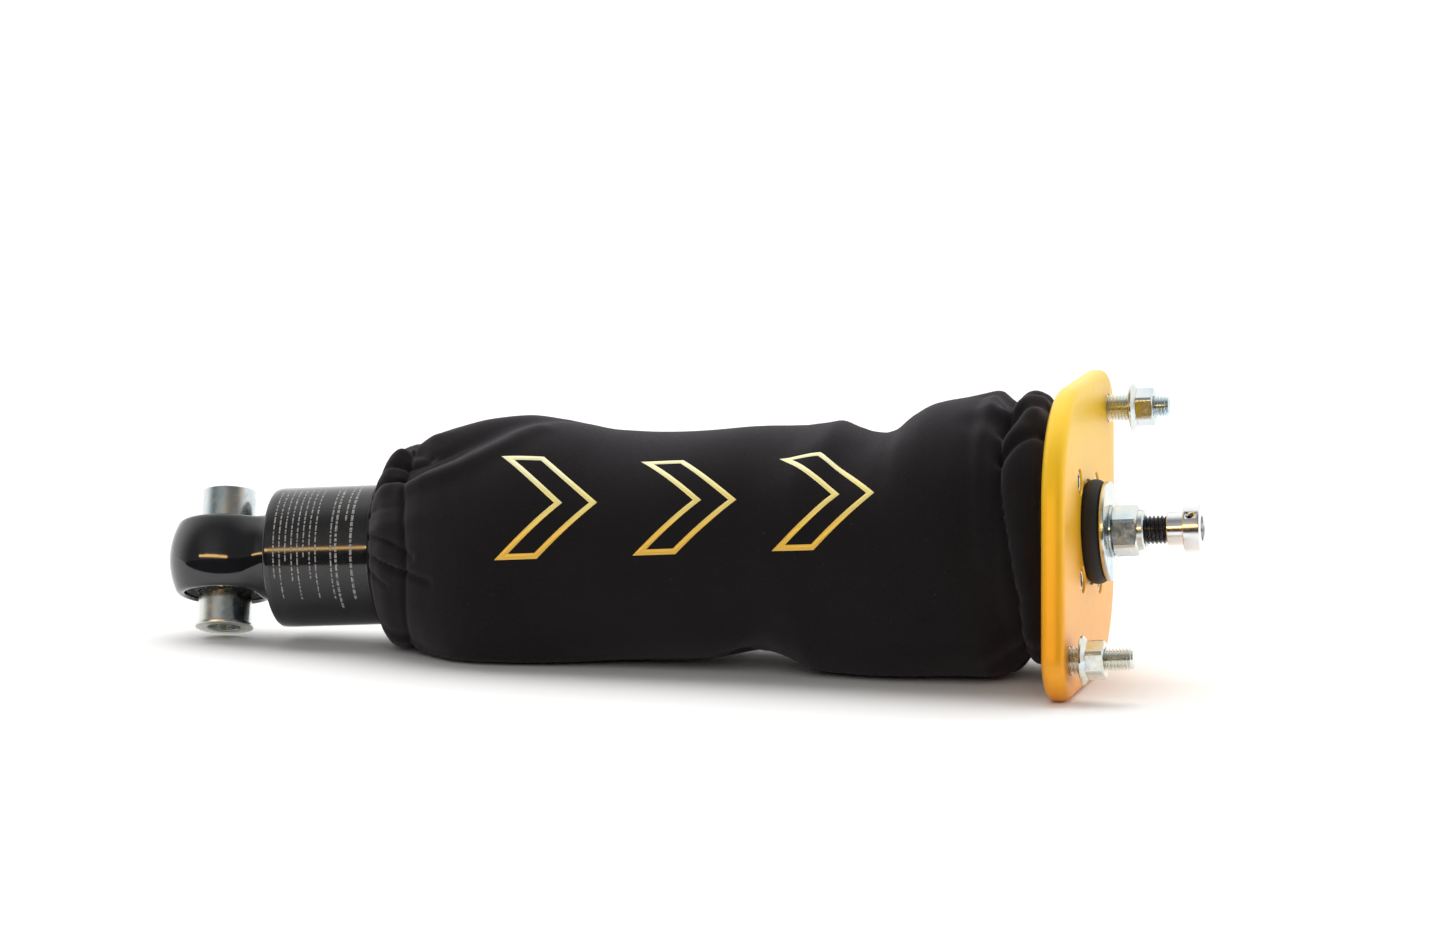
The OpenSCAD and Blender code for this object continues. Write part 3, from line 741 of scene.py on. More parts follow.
def black_flag(name, y, low, high):
    """A black card in front, seen only in reflections: it hides the far floor from gloss parts."""
    corners = [(-900, y, low), (1300, y, low), (1300, y, high), (-900, y, high)]
    card = finish_mesh(name, corners, [(0, 1, 2, 3)])
    shade = Shade("flag_cloth", (0.004, 0.004, 0.004), 1.0)
    shade.set("Specular IOR Level", 0.0)
    card.data.materials.append(shade.material)
    card.visible_camera = False
    card.visible_diffuse = False
    card.visible_shadow = False


def set_studio():
    """The sky, a soft sun, a low black flag in front, a warm strip above it and a front fill."""
    world = bpy.data.worlds.new("studio")
    bpy.context.scene.world = world
    world.use_nodes = True
    background = world.node_tree.nodes["Background"]
    background.inputs["Color"].default_value = (1.0, 1.0, 1.0, 1.0)
    sky(world.node_tree, background)
    sun = bpy.data.lights.new("soft_sun", "SUN")
    sun.energy = 1.8
    sun.angle = math.radians(70)
    lamp = bpy.data.objects.new("soft_sun", sun)
    lamp.rotation_euler = (math.radians(-28), math.radians(-6), 0.0)
    lamp.visible_glossy = False
    bpy.context.scene.collection.objects.link(lamp)
    black_flag("front_flag", -260.0, -70.0, 74.0)
    area_light("warm_strip", (-0.25, -1.25, 0.46), (0.0, 0.0, 0.0), 1.5, 5.6,
               (1.0, 0.60, 0.20), "glossy", height=0.09)
    area_light("front_fill", (0.35, -1.25, 0.75), (0.2, 0.0, 0.0), 1.0, 4.5,
               (1.0, 0.96, 0.92), "diffuse")
    scene = bpy.context.scene
    scene.view_settings.view_transform = "Standard"
    scene.view_settings.look = "None"


# ---- lower eye and bracket ----


def eye_casting():
    """The eye and its neck, one casting with a fillet where they meet."""
    across = np.cross(SLEEVE.along, SLEEVE.zero)
    arc = (EYE_HALF**2 + EYE_SWELL**2) / (2 * EYE_SWELL)

    def field(points):
        up = points @ SLEEVE.along
        out = np.hypot(points @ SLEEVE.zero, points @ across)
        barrel = np.hypot(out - (EYE_R - arc), up) - arc
        barrel = soft_max(barrel, np.abs(up) - EYE_HALF, 1.6)
        flare = 0.04 * np.maximum(points[:, 0] - 15.0, 0.0) ** 2 * 0.3
        neck = np.hypot(points[:, 1], points[:, 2]) - NECK_R - flare
        neck = soft_max(neck, 4.0 - points[:, 0], 2.0)
        neck = soft_max(neck, points[:, 0] - CUP_START - 2.5, 0.6)
        body = soft_min(barrel, neck, 2.6)
        return soft_max(body, BUSH_R - out, 0.9)

    piece = cast("eye_casting", field, (-24, -24, -24), (26, 24, 24), 0.75)
    return dress(piece, "bracket_paint", "lower_mount", ["lower_bracket"])


def bracket_cup():
    """The cup that the damper screws into, with a rolled edge at its closed end."""
    bore = TUBE_R + 0.1
    outline = rounded(
        [(CUP_START, 1.0), (CUP_START, CUP_R), (CUP_END, CUP_R), (CUP_END, bore),
         (CUP_START + 9.0, bore), (CUP_START + 9.0, 1.0)], [0, 1.6, 0.9, 0.5, 1.0, 0])
    piece = lathe("bracket_cup", outline, sides=192, closed=False)
    close_poles(piece)
    return dress(piece, "bracket_paint", "lower_mount")


def close_poles(piece):
    """Fills the small round holes that a lathe leaves on its axis."""
    edit = bmesh.new()
    edit.from_mesh(piece.data)
    rims = [edge for edge in edit.edges if edge.is_boundary]
    bmesh.ops.holes_fill(edit, edges=rims, sides=0)
    bmesh.ops.recalc_face_normals(edit, faces=edit.faces)
    for face in edit.faces:
        face.smooth = True
    edit.to_mesh(piece.data)
    edit.free()


def eye_bush():
    """Rubber bush in the eye, dished between eye and sleeve."""
    half = EYE_HALF - 1.5
    outer, inner = BUSH_R - 0.05, SLEEVE_R + 0.05
    middle = (outer + inner) / 2
    face = [(half, inner), (half + 0.5, inner + 0.8), (half - 1.2, middle),
            (half + 0.2, outer - 0.7), (half - 0.3, outer)]
    outline = face + [(-along, radius) for along, radius in face[::-1]]
    piece = lathe("eye_bush_rubber", outline, SLEEVE, 96, sharp=60.0)
    return dress(piece, "black_rubber", "lower_mount", ["eye_bush"])


def bolt_sleeve():
    """Zinc sleeve through the eye, chamfered, with a lip at its lower end."""
    half, lip = SLEEVE_HALF, 11.0
    outline = rounded(
        [(-half, SLEEVE_BORE_R), (-half, SLEEVE_R), (half - 1.4, SLEEVE_R), (half - 1.4, lip),
         (half, lip), (half, SLEEVE_BORE_R)], [0.5, 0.45, 0.15, 0.3, 0.3, 0.6])
    piece = lathe("bolt_sleeve_turned", outline, SLEEVE, 128)
    return dress(piece, "zinc_steel", "bolt_sleeve", ["eye_sleeve"])


def cup_label():
    """Printed film round the cup: rows of dashes stand where fine print would be."""
    start, end = span("cup_label")
    back_r, film_r = CUP_R - 0.02, CUP_R + 0.12
    corners = [(start, back_r), (start, film_r), (end, film_r), (end, back_r)]
    film = lathe("cup_label_film", rounded(corners, [0, 0.05, 0.05, 0]), sides=192)
    dress(film, "label_film", "lower_mount", ["cup_label"])
    ink_r = film_r + 0.02
    rows = [(start + 2.2 + 2.35 * i, 0.55, 92.0 + 20.0 * math.sin(2.1 * i)) for i in range(8)]
    rows += [(start + 24.6, 0.6, 112.0), (start + 26.6, 0.9, 118.0),
             (start + 30.0, 0.7, 42.0), (start + 32.4, 1.0, 110.0)]
    points, faces = [], []
    for place, tall, reach in rows:
        angle = 172.0
        while angle > 172.0 - reach:
            word = float(RNG.uniform(1.6, 6.0))
            steps = 3
            for k in range(steps + 1):
                turn = angle - word * k / steps
                for side in (-0.5, 0.5):
                    points.append(polar(place + side * tall, turn, ink_r))
            base = len(points) - 2 * (steps + 1)
            faces += [(n, n + 1, n + 3, n + 2) for n in (base + 2 * k for k in range(steps))]
            angle -= word + float(RNG.uniform(0.9, 1.6))
    ink = finish_mesh("cup_label_print", points, faces)
    solid = ink.modifiers.new("film", "SOLIDIFY")
    solid.thickness = 0.02 * MM
    dress(ink, "label_film", "lower_mount", material=LABEL_INK)
    return film


# ---- cloth sleeve ----

# The sleeve's outline, mm: place on the damper, reach up, down, to the near side, to the far side.
SLEEVE_STATIONS = np.array([
    (64.2, 27.8, 28.2, 28.0, 28.0), (65.4, 30.6, 32.0, 31.0, 31.0),
    (67.6, 33.8, 34.6, 33.8, 33.8), (71.0, 37.0, 35.8, 37.2, 37.2),
    (76.5, 39.4, 36.6, 40.5, 40.5), (82.0, 41.6, 39.6, 44.0, 44.0),
    (89.0, 45.4, 43.0, 48.0, 48.0), (99.0, 48.0, 45.5, 51.5, 52.0),
    (108.0, 49.5, 46.2, 53.0, 53.5), (121.0, 50.2, 45.8, 53.5, 54.0),
    (133.0, 48.6, 44.4, 53.2, 53.5), (143.0, 46.0, 43.2, 52.6, 53.0),
    (155.0, 43.4, 42.4, 51.8, 52.5), (170.0, 42.7, 42.4, 51.2, 52.0),
    (190.0, 43.0, 41.6, 50.8, 52.0), (203.0, 43.1, 39.8, 50.2, 52.0),
    (212.0, 42.8, 38.9, 50.0, 52.0), (219.5, 42.4, 41.6, 50.6, 52.0),
    (226.0, 42.3, 45.2, 51.4, 52.0), (231.0, 42.8, 48.2, 52.4, 52.6),
    (240.0, 43.5, 49.8, 53.2, 53.4), (248.0, 40.6, 51.0, 53.8, 54.0),
    (255.0, 39.8, 51.8, 54.0, 54.0), (262.0, 40.8, 52.2, 53.9, 54.0),
    (269.0, 45.4, 52.4, 53.6, 53.8), (277.0, 49.4, 52.4, 53.0, 53.4),
    (287.0, 51.3, 52.4, 52.4, 52.6), (296.0, 52.1, 52.0, 51.4, 51.8),
    (301.0, 51.4, 50.6, 50.0, 50.4), (305.0, 49.6, 48.4, 48.6, 48.8),
    (309.0, 50.6, 47.4, 49.6, 49.6), (314.0, 51.2, 47.6, 49.8, 49.8),
    (318.0, 50.2, 46.8, 48.6, 48.6), (320.6, 46.6, 44.8, 45.6, 45.6)])
CUFF_START = SLEEVE_STATIONS[0][0]
CUFF_END = SLEEVE_STATIONS[-1][0]
DEGREE = 0.86  # mm of cloth in one degree round the sleeve
FLOOR_GAP = 0.35  # mm between floor and cloth


def smooth_table(x, places, values):
    """Values between stations along a smooth curve that never overshoots."""
    step = np.diff(places)
    rate = np.diff(values) / step
    slope = np.zeros(len(values))
    same = rate[:-1] * rate[1:] > 0
    harmonic = np.zeros(len(rate) - 1)
    harmonic[same] = 2 * rate[:-1][same] * rate[1:][same] / (rate[:-1][same] + rate[1:][same])
    slope[1:-1] = harmonic
    slope[0], slope[-1] = rate[0], rate[-1]
    i = np.clip(np.searchsorted(places, x) - 1, 0, len(step) - 1)
    t = np.clip((x - places[i]) / step[i], 0.0, 1.0)
    a, b = values[i], values[i + 1]
    return (
        a * (1 + 2 * t) * (1 - t) ** 2 + b * t**2 * (3 - 2 * t)
        + step[i] * (slope[i] * t * (1 - t) ** 2 - slope[i + 1] * t**2 * (1 - t))
    )


def step_up(value, start, end):
    """From 0 at the start to 1 at the end, smoothly."""
    t = np.clip((value - start) / (end - start), 0.0, 1.0)
    return t * t * (3 - 2 * t)


def hill(value, centre, width):
    """A smooth bump, 1 high at its centre."""
    return np.exp(-(((value - centre) / width) ** 2))


def turn_between(angle, centre):
    """Signed angle from a centre, -180 to 180."""
    return (angle - centre + 180.0) % 360.0 - 180.0


def fold(x, angle, route, width, start_height, end_height):
    """A ridge (or crease, if negative) along a route of (place, angle) points, in mm."""
    best = np.full(np.shape(x), 1e9)
    share = np.zeros(np.shape(x))
    total = sum(math.hypot(b[0] - a[0], (b[1] - a[1]) * DEGREE) for a, b in zip(route, route[1:]))
    done = 0.0
    for a, b in zip(route, route[1:]):
        along, over = b[0] - a[0], (b[1] - a[1]) * DEGREE
        length = math.hypot(along, over)
        dx, dy = x - a[0], turn_between(angle, a[1]) * DEGREE
        t = np.clip((dx * along + dy * over) / length**2, 0.0, 1.0)
        far = np.hypot(dx - t * along, dy - t * over)
        nearer = far < best
        best = np.where(nearer, far, best)
        share = np.where(nearer, (done + t * length) / total, share)
        done += length
    return (start_height + (end_height - start_height) * share) * np.exp(-((best / width) ** 2))


# Where the cuffs are sewn on, as (angle, place along the damper).
LOWER_SEAM = [(0, 76), (30, 76), (60, 79.5), (94, 83.2), (112, 82), (136, 80.5), (170, 80),
              (220, 80), (290, 79), (360, 76)]
UPPER_SEAM = [(0, 308), (40, 310.5), (68, 312), (96, 309.8), (114, 307.6), (140, 306.6),
              (158, 308.6), (176, 306.4), (230, 309), (300, 310), (360, 308)]


def seam_place(angle, seam):
    return np.interp(angle % 360.0, [a for a, _ in seam], [x for _, x in seam])


def gathers(angle, count, seed):
    """Uneven pleats round a gathered end, from -1 to 1."""
    rng = np.random.default_rng(seed)
    turn = np.radians(angle)
    sway = 0.5 * np.sin(2 * turn + rng.uniform(0, 6)) + 0.35 * np.sin(5 * turn + rng.uniform(0, 6))
    main = np.sin(count * turn + 1.6 * sway + rng.uniform(0, 6))
    minor = np.sin((count * 2 - 3) * turn + 2.2 * sway + rng.uniform(0, 6))
    return 0.72 * main + 0.28 * minor


def cloth_relief(x, angle):
    """Height of every fold, crease, seam and pleat over the plain sleeve, in mm."""
    x, angle = np.broadcast_arrays(x, angle)
    relief = np.zeros(x.shape)
    low_seam, high_seam = seam_place(angle, LOWER_SEAM), seam_place(angle, UPPER_SEAM)
    # lower cuff: pleats fan out of the elastic and die away past the seam
    fan = 1.0 - step_up(x, 74.0, 104.0)
    calm = 1.0 - 0.75 * hill(turn_between(angle, 70.0), 0.0, 48.0)
    relief += 1.15 * gathers(angle, 15, 11) * fan * calm * step_up(x, CUFF_START, CUFF_START + 5.0)
    relief += 1.3 * hill(x, (CUFF_START + low_seam) / 2 + 1.0, 8.0) * (x < low_seam + 8)
    relief -= 1.7 * np.exp(-np.abs(x - low_seam) / 1.3)
    # top of the lower cuff: three fat lumps with dark creases between them
    lumps = ((69.5, 150.0, 5.0, 1.9), (74.5, 163.0, 5.5, 2.1), (83.0, 171.0, 6.0, 1.6))
    for place, turned, wide, tall in lumps:
        across = turn_between(angle, turned) * DEGREE / 6.0
        relief += tall * np.exp(-((x - place) / wide) ** 2 - across**2)
    relief += fold(x, angle, [(66, 145), (74, 141), (82, 139)], 1.5, -2.6, -2.2)
    relief += fold(x, angle, [(67, 157), (76, 153), (86, 146)], 1.6, -2.4, -2.0)
    relief += fold(x, angle, [(72, 172), (82, 160), (90, 150)], 1.7, -2.2, -1.4)
    # front of the lower cuff: three fine creases
    relief += fold(x, angle, [(64, 111), (74, 105), (86, 96)], 1.2, -3.2, -1.4)
    relief += fold(x, angle, [(64, 97), (78, 90), (93, 85)], 1.25, -3.4, -1.4)
    relief += fold(x, angle, [(64, 86), (73, 81)], 1.2, -2.6, -1.0)
    relief += fold(x, angle, [(64, 128), (72, 124), (79, 122)], 1.6, -1.2, -0.4)
    # the long soft ridge over the shoulder with a valley above it
    ridge = [(82, 132), (95, 134), (108, 140), (120, 149), (130, 162)]
    valley = [(84, 142), (98, 147), (110, 157), (122, 170), (134, 184)]
    relief += fold(x, angle, ridge, 4.6, 2.0, 1.0)
    relief += fold(x, angle, valley, 6.0, -3.4, -1.0)
    relief += fold(x, angle, [(90, 165), (104, 172), (120, 180)], 6.5, 1.6, 0.4)
    # waist: a pinch at the floor and a slack diagonal fold behind the shoulder of the upper end
    relief += fold(x, angle, [(204, 28), (214, 44), (220, 62)], 7.0, -2.6, -0.8)
    relief += fold(x, angle, [(228, 66), (220, 50), (211, 30)], 5.0, 1.0, 1.4)
    relief += fold(x, angle, [(226, 118), (236, 138), (243, 158), (246, 180)], 7.5, 0.4, 1.5)
    relief += fold(x, angle, [(240, 110), (250, 132), (256, 160), (257, 190)], 8.0, -0.4, -1.2)
    relief += fold(x, angle, [(278, 96), (272, 116), (268, 140)], 9.0, 0.5, 0.5)
    # upper end: the body rolls in to the seam, and the cuff beyond it is gathered
    relief -= 3.6 * np.exp(-np.abs(x - high_seam) / 1.7)
    relief += 0.9 * hill(x, high_seam - 6.5, 3.4)
    relief += 0.9 * hill(x, high_seam + 5.0, 4.0)
    fan = step_up(x, 284.0, 306.0)
    calm = 1.0 - 0.7 * hill(turn_between(angle, 85.0), 0.0, 45.0)
    relief += 0.85 * gathers(angle, 13, 5) * fan * calm
    for turned, lean in ((177.0, 11.0), (159.0, 13.0), (139.0, 8.0)):
        route = [(307, turned - lean), (313, turned), (320, turned + lean)]
        relief += fold(x, angle, route, 1.9, -2.6, -2.0)
    for turned, tall in ((168.0, 1.7), (149.0, 1.3)):
        route = [(307, turned - 7), (313, turned), (319, turned + 8)]
        relief += fold(x, angle, route, 4.4, tall, tall)
    relief += fold(x, angle, [(301, 172), (300, 150), (300.5, 120), (300, 90)], 3.0, 0.5, 0.9)
    relief += fold(x, angle, [(296, 178), (294.5, 150), (295, 122), (296, 98)], 3.2, -0.7, -0.5)
    # slow unevenness of a soft sleeve
    turn = np.radians(angle)
    body = step_up(x, 84.0, 110.0) * (1.0 - step_up(x, 285.0, 300.0))
    relief += body * (0.45 * np.sin(x / 17.0 + 2 * turn) + 0.3 * np.sin(x / 9.5 - 3 * turn + 1.3))
    return relief


def plain_radius(x, angle):
    """Distance from the axis to the sleeve before its folds, with squarish lower corners."""
    places, *reaches = SLEEVE_STATIONS.T
    up, drop, near, far = (smooth_table(x, places, reach) for reach in reaches)
    turn = np.radians(angle)
    down, side = np.cos(turn), np.sin(turn)
    tall = np.where(down > 0, drop, up)
    wide = np.where(side > 0, near, far)
    square = 0.5 * step_up(x, 70.0, 100.0) * (1.0 - step_up(x, 296.0, 306.0))
    power = np.where(down > 0, 2.0 + square, 2.0)
    return (np.abs(down / tall) ** power + np.abs(side / wide) ** power) ** (-1.0 / power)


def cloth_points(x, angle, lift=0.0):
    """Points of the sleeve's outer face, lying on the floor where they would go through it."""
    radius = np.maximum(plain_radius(x, angle) + cloth_relief(x, angle), CUP_R + 1.1) + lift
    points = polar(x, angle, radius)
    ground = floor_height(points[..., 0]) + FLOOR_GAP
    soft = 2.6
    above = points[..., 2] - ground
    pressed = np.maximum(0.0, soft - above)
    eased = soft * np.exp(np.minimum(0.0, above - soft) / soft)
    points[..., 2] = ground + np.where(above > soft, above, eased)
    points[..., 1] *= 1.0 + 0.0035 * np.minimum(pressed, 8.0)
    return points


def cloth_inner(x, angle):
    """The sleeve's inner face: the plain shape, a cloth thickness in."""
    radius = np.maximum(plain_radius(x, angle) - CLOTH, np.where(x < 68.0, CUP_R + 0.5, 0.0))
    tight = np.where(x > 303.0, 41.4, 200.0)
    points = polar(x, angle, np.minimum(radius, tight))
    ground = floor_height(points[..., 0]) + FLOOR_GAP + 0.55 * CLOTH
    points[..., 2] = np.maximum(points[..., 2], ground)
    return points


def cloth_sleeve():
    """The stretch sleeve as one closed sheet of cloth with rolled hems at both ends."""
    places = np.concatenate([
        np.arange(CUFF_START, 96.0, 0.75), np.arange(96.0, 294.0, 1.5),
        np.arange(294.0, CUFF_END, 0.7), [CUFF_END]])
    sides = 264
    around = np.arange(sides) * 360.0 / sides
    outer = cloth_points(places[:, None], around[None, :])
    inner_places = np.concatenate([
        np.linspace(CUFF_END - 1.2, 300.0, 8), np.linspace(292.0, 74.0, 40),
        np.linspace(70.0, CUFF_START + 1.0, 6)])
    inner = cloth_inner(inner_places[:, None], around[None, :])

    def lip(edge, inside, outward):
        rows = []
        for k in (1, 2, 3):
            t = k / 4.0
            middle = edge * (1 - t) + inside * t
            middle[:, 0] += outward * 1.5 * math.sin(math.pi * t)
            rows.append(middle)
        return np.stack(rows)

    upper_lip, lower_lip = lip(outer[-1], inner[0], 1.0), lip(inner[-1], outer[0], -1.0)
    rows = np.concatenate([outer, upper_lip, inner, lower_lip])
    faces = grid_faces(len(rows), sides, close_rows=True)
    piece = finish_mesh("cloth_sleeve", rows.reshape(-1, 3), faces, 80.0)
    add_cloth_map(piece)
    dress(piece, "neoprene", None, ["cover"])
    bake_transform(piece)
    return piece


def add_cloth_map(piece):
    """A map in metres along and round the sleeve, for the knit."""
    layer = piece.data.uv_layers.new(name="cloth")
    for face in piece.data.polygons:
        turns = []
        for loop in face.loop_indices:
            x, y, z = piece.data.vertices[piece.data.loops[loop].vertex_index].co
            turns.append((loop, x, math.degrees(math.atan2(-y, -z)) % 360.0))
        wraps = max(t for _, _, t in turns) - min(t for _, _, t in turns) > 180.0
        for loop, x, turn in turns:
            if wraps and turn < 180.0:
                turn += 360.0
            layer.data[loop].uv = (x, turn * DEGREE * MM)


def chevron(x, angle, length, rise, band):
    """Outline of one chevron on the cloth, as (place, angle) corners, pointing along +X."""
    tip, notch = x + length, x + length - band
    top, bottom = angle + rise, angle - rise
    return [(x, top), (x + band, top), (tip, angle),
            (x + band, bottom), (x, bottom), (notch, angle)]


def printed_outline(name, corners, line=2.0):
    """A closed line of gold print that follows the cloth round a list of (place, angle) corners."""
    flat = np.array([(x, a * DEGREE) for x, a in corners])
    count = len(flat)
    normals = []
    for i in range(count):
        edge = flat[(i + 1) % count] - flat[i]
        edge = edge / np.linalg.norm(edge)
        normals.append(np.array([edge[1], -edge[0]]))
    rings = []
    for side in (-0.5, 0.5):
        ring = []
        for i in range(count):
            before, after = normals[i - 1], normals[i]
            middle = before + after
            ring.append(flat[i] + middle * (line * side * 2.0 / np.dot(middle, middle)))
        rings.append(np.array(ring))
    rows = []
    for i in range(count):
        ends = [(ring[i], ring[(i + 1) % count]) for ring in rings]
        steps = max(2, int(np.linalg.norm(flat[(i + 1) % count] - flat[i]) / 0.8))
        for k in range(steps):
            t = k / steps
            strip = [a * (1 - t) + b * t for a, b in ends]
            rows.append([strip[0] * (1 - w) + strip[1] * w for w in (0.0, 1 / 3, 2 / 3, 1.0)])
    rows = np.array(rows)
    lift = np.array([0.0, 0.22, 0.22, 0.0])
    top = cloth_points(rows[..., 0], rows[..., 1] / DEGREE, lift)
    under = cloth_points(rows[:, ::-1, 0], rows[:, ::-1, 1] / DEGREE, -0.12)
    points = np.concatenate([top, under], axis=1)
    faces = grid_faces(len(rows), 8, close_rows=True)
    piece = finish_mesh(name, points.reshape(-1, 3), faces, 60.0)
    dress(piece, "neoprene", None, material=GOLD_FOIL)
    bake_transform(piece)
    return piece


def sleeve_print():
    """Three plain chevrons in gold print, where the cloth carries its lettering."""
    for i, start in enumerate((122.0, 174.0, 226.0)):
        printed_outline("print_chevron_%d" % (i + 1), chevron(start, 117.0, 34.0, 22.0, 13.0))


def hem_elastics():
    """Elastic cords run inside the hems that gather the sleeve."""
    cord_r = 0.75
    turns = np.linspace(0, 2 * math.pi, 13)[:-1]
    for name, node, place, radius, body in (
        ("lower_hem_elastic", "lower_cover_elastic", CUFF_START + 1.2, 28.6, "damper_body"),
        ("upper_hem_elastic", "upper_cover_elastic", CUFF_END - 1.4, 43.6, "top_mount"),
    ):
        ring = [(place + cord_r * math.cos(t), radius + cord_r * math.sin(t)) for t in turns]
        dress(lathe(name, ring, sides=160, sharp=80.0), "elastic_cord", body, [node])


# ---- top mount ----


def plate_outline(inset, count=360):
    """The plate's outline in its own plane: along the stud line, and across it."""
    big, small = PLATE_R - inset, EAR_R - inset
    points = []
    for k in range(count):
        turn = 2 * math.pi * k / count
        way = np.array([math.cos(turn), math.sin(turn)])
        options = [(0.0, big), (STUD_ARM, small), (-STUD_ARM, small)]
        centre, radius = max(options, key=lambda o: o[0] * way[0] + o[1])
        points.append(np.array([centre, 0.0]) + radius * way)
    return np.array(points)


def on_plate(flat, along):
    """Row-frame points from (along the stud line, across it) pairs at a place on the damper."""
    stud = down_front(STUD_ROLL)
    across = np.cross((1.0, 0.0, 0.0), stud)
    flat = np.atleast_2d(flat)
    place = np.outer(np.full(len(flat), along), (1.0, 0.0, 0.0))
    return flat[:, :1] * stud + flat[:, 1:2] * across + place


def circle_at(centre, radius, count=64):
    turn = np.arange(count) * 2 * math.pi / count
    return np.array(centre) + radius * np.stack([np.cos(turn), np.sin(turn)], axis=1)


def top_plate():
    """The gold plate: rounded rim, soft hole edges, pockets for bush, studs and screws."""
    steps = 8
    loops = []
    for side, base in ((0, PLATE_BACK + PLATE_EDGE), (1, PLATE_FACE - PLATE_EDGE)):
        for k in range(steps + 1):
            t = k / steps if side else 1 - k / steps
            turn = t * math.pi / 2
            sign = 1 if side else -1
            outline = plate_outline(PLATE_EDGE * (1 - math.cos(turn)))
            loops.append(on_plate(outline, base + sign * PLATE_EDGE * math.sin(turn)))
    count = len(loops[0])
    points = [p for loop in loops for p in loop]
    faces = grid_faces(len(loops), count)
    last = (len(loops) - 1) * count
    rims = {"back": [list(range(count))], "face": [list(range(last, last + count))]}
    bush_wall = [(PLATE_BACK, 12.5), (PLATE_FACE - 1.0, 12.5), (PLATE_FACE - 1.0, 19.2),
                 (PLATE_FACE - 0.25, 19.3), (PLATE_FACE, 19.55)]
    stud_wall = [(PLATE_BACK, 6.5), (PLATE_BACK + 1.5, 6.5), (PLATE_BACK + 1.5, 4.1),
                 (PLATE_FACE - 1.5, 4.1), (PLATE_FACE - 1.5, 5.15), (PLATE_FACE, 5.3)]
    screw_wall = [(PLATE_BACK, 3.2), (PLATE_FACE - 3.3, 3.2), (PLATE_FACE - 3.3, 4.8),
                  (PLATE_FACE - 0.35, 4.8), (PLATE_FACE, 5.1)]
    holes = [((0.0, 0.0), bush_wall, 96)]
    holes += [((side * STUD_ARM, 0.0), stud_wall, 48) for side in (-1, 1)]
    for quarter in range(4):
        turn = quarter * math.pi / 2
        centre = (SCREW_CIRCLE * math.cos(turn), SCREW_CIRCLE * math.sin(turn))
        holes.append((centre, screw_wall, 48))
    for centre, wall, sides in holes:
        base = len(points)
        for along, radius in wall:
            points.extend(on_plate(circle_at(centre, radius, sides), along))
        faces += [tuple(base + n for n in face) for face in grid_faces(len(wall), sides)]
        rims["back"].append([base + j for j in range(sides)])
        rims["face"].append([base + (len(wall) - 1) * sides + j for j in range(sides)])
    piece = finish_mesh("anodised_plate", points, faces + fill_between(points, rims), 40.0)
    return dress(piece, "gold_anodised", "top_mount", ["top_plate"])


def fill_between(points, rims):
    """Flat faces between an outline and the holes inside it."""
    faces = []
    for loops in rims.values():
        edit = bmesh.new()
        made, edges = {}, []
        for loop in loops:
            for index in loop:
                made[index] = edit.verts.new(tuple(points[index]))
            edges += [edit.edges.new((made[a], made[b])) for a, b in zip(loop, loop[1:] + loop[:1])]
        names = {vert: index for index, vert in made.items()}
        bmesh.ops.triangle_fill(edit, use_beauty=True, use_dissolve=False, edges=edges)
        faces += [tuple(names[v] for v in face.verts) for face in edit.faces]
        edit.free()
    return faces


def mount_studs():
    """Two studs with real threads, their heads, serrated collars and flange nuts."""
    stud_end = span("mount_studs")[1]
    thread_depth = 0.75
    studs, nuts = [], []
    nut_places = (PLATE_FACE + 4.0, PLATE_FACE + 8.8)
    for i, (axis, start) in enumerate(zip(STUDS, nut_places)):
        studs.append(thread("stud_thread", axis, PLATE_FACE + 0.6, stud_end, STUD_R,
                            STUD_PITCH, thread_depth, phase=0.3 * i))
        studs.append(serrated_collar("stud_head", axis, PLATE_BACK + 0.05, PLATE_BACK + 1.45,
                                     radius=6.35, teeth=36))
        studs.append(thread("stud_shoulder", axis, PLATE_FACE - 1.4, start, 5.1,
                            STUD_PITCH, thread_depth, phase=0.1, chamfer=0.5, core=3.9))
        flange = [(start, 4.6), (start, 8.6), (start + 0.35, 8.95), (start + 0.95, 8.85),
                  (start + 1.7, 7.9), (start + 2.4, 7.0)]
        nuts.append(hex_nut("flange_nut", axis, start, start + 8.8, NUT_AF, STUD_R + 0.05,
                            base=flange, chamfer_both=False))
    dress(join("mount_studs_turned", studs), "zinc_steel", "top_mount", ["mount_studs"])
    for i, nut in enumerate(nuts):
        dress(bevel(nut, 0.18), "zinc_steel", "top_mount", ["stud_nuts"] if i == 0 else [])
        nut.name = "flange_nut_%d" % (i + 1)


def serrated_collar(name, axis, start, end, radius, teeth):
    """A short collar with fine straight teeth."""
    sides = teeth * 8
    around = np.arange(sides) * 360.0 / sides
    tooth = radius - 0.28 * (0.5 + 0.5 * np.cos(np.radians(around) * teeth))
    rings = [(start, 0.5), (start, tooth - 0.3), (start + 0.3, tooth), (end - 0.3, tooth),
             (end, tooth - 0.35), (end, 3.9), (end - 0.4, 0.5)]
    return ringed(name, axis, around, rings)


def ringed(name, axis, around, rings, closed=True):
    """A shape from rings of (place, radius), each radius one number or one for each angle."""
    points = np.concatenate([axis.points(x, around, r) for x, r in rings])
    faces = grid_faces(len(rings), len(around), close_rows=closed)
    return finish_mesh(name, points, faces, 30.0)


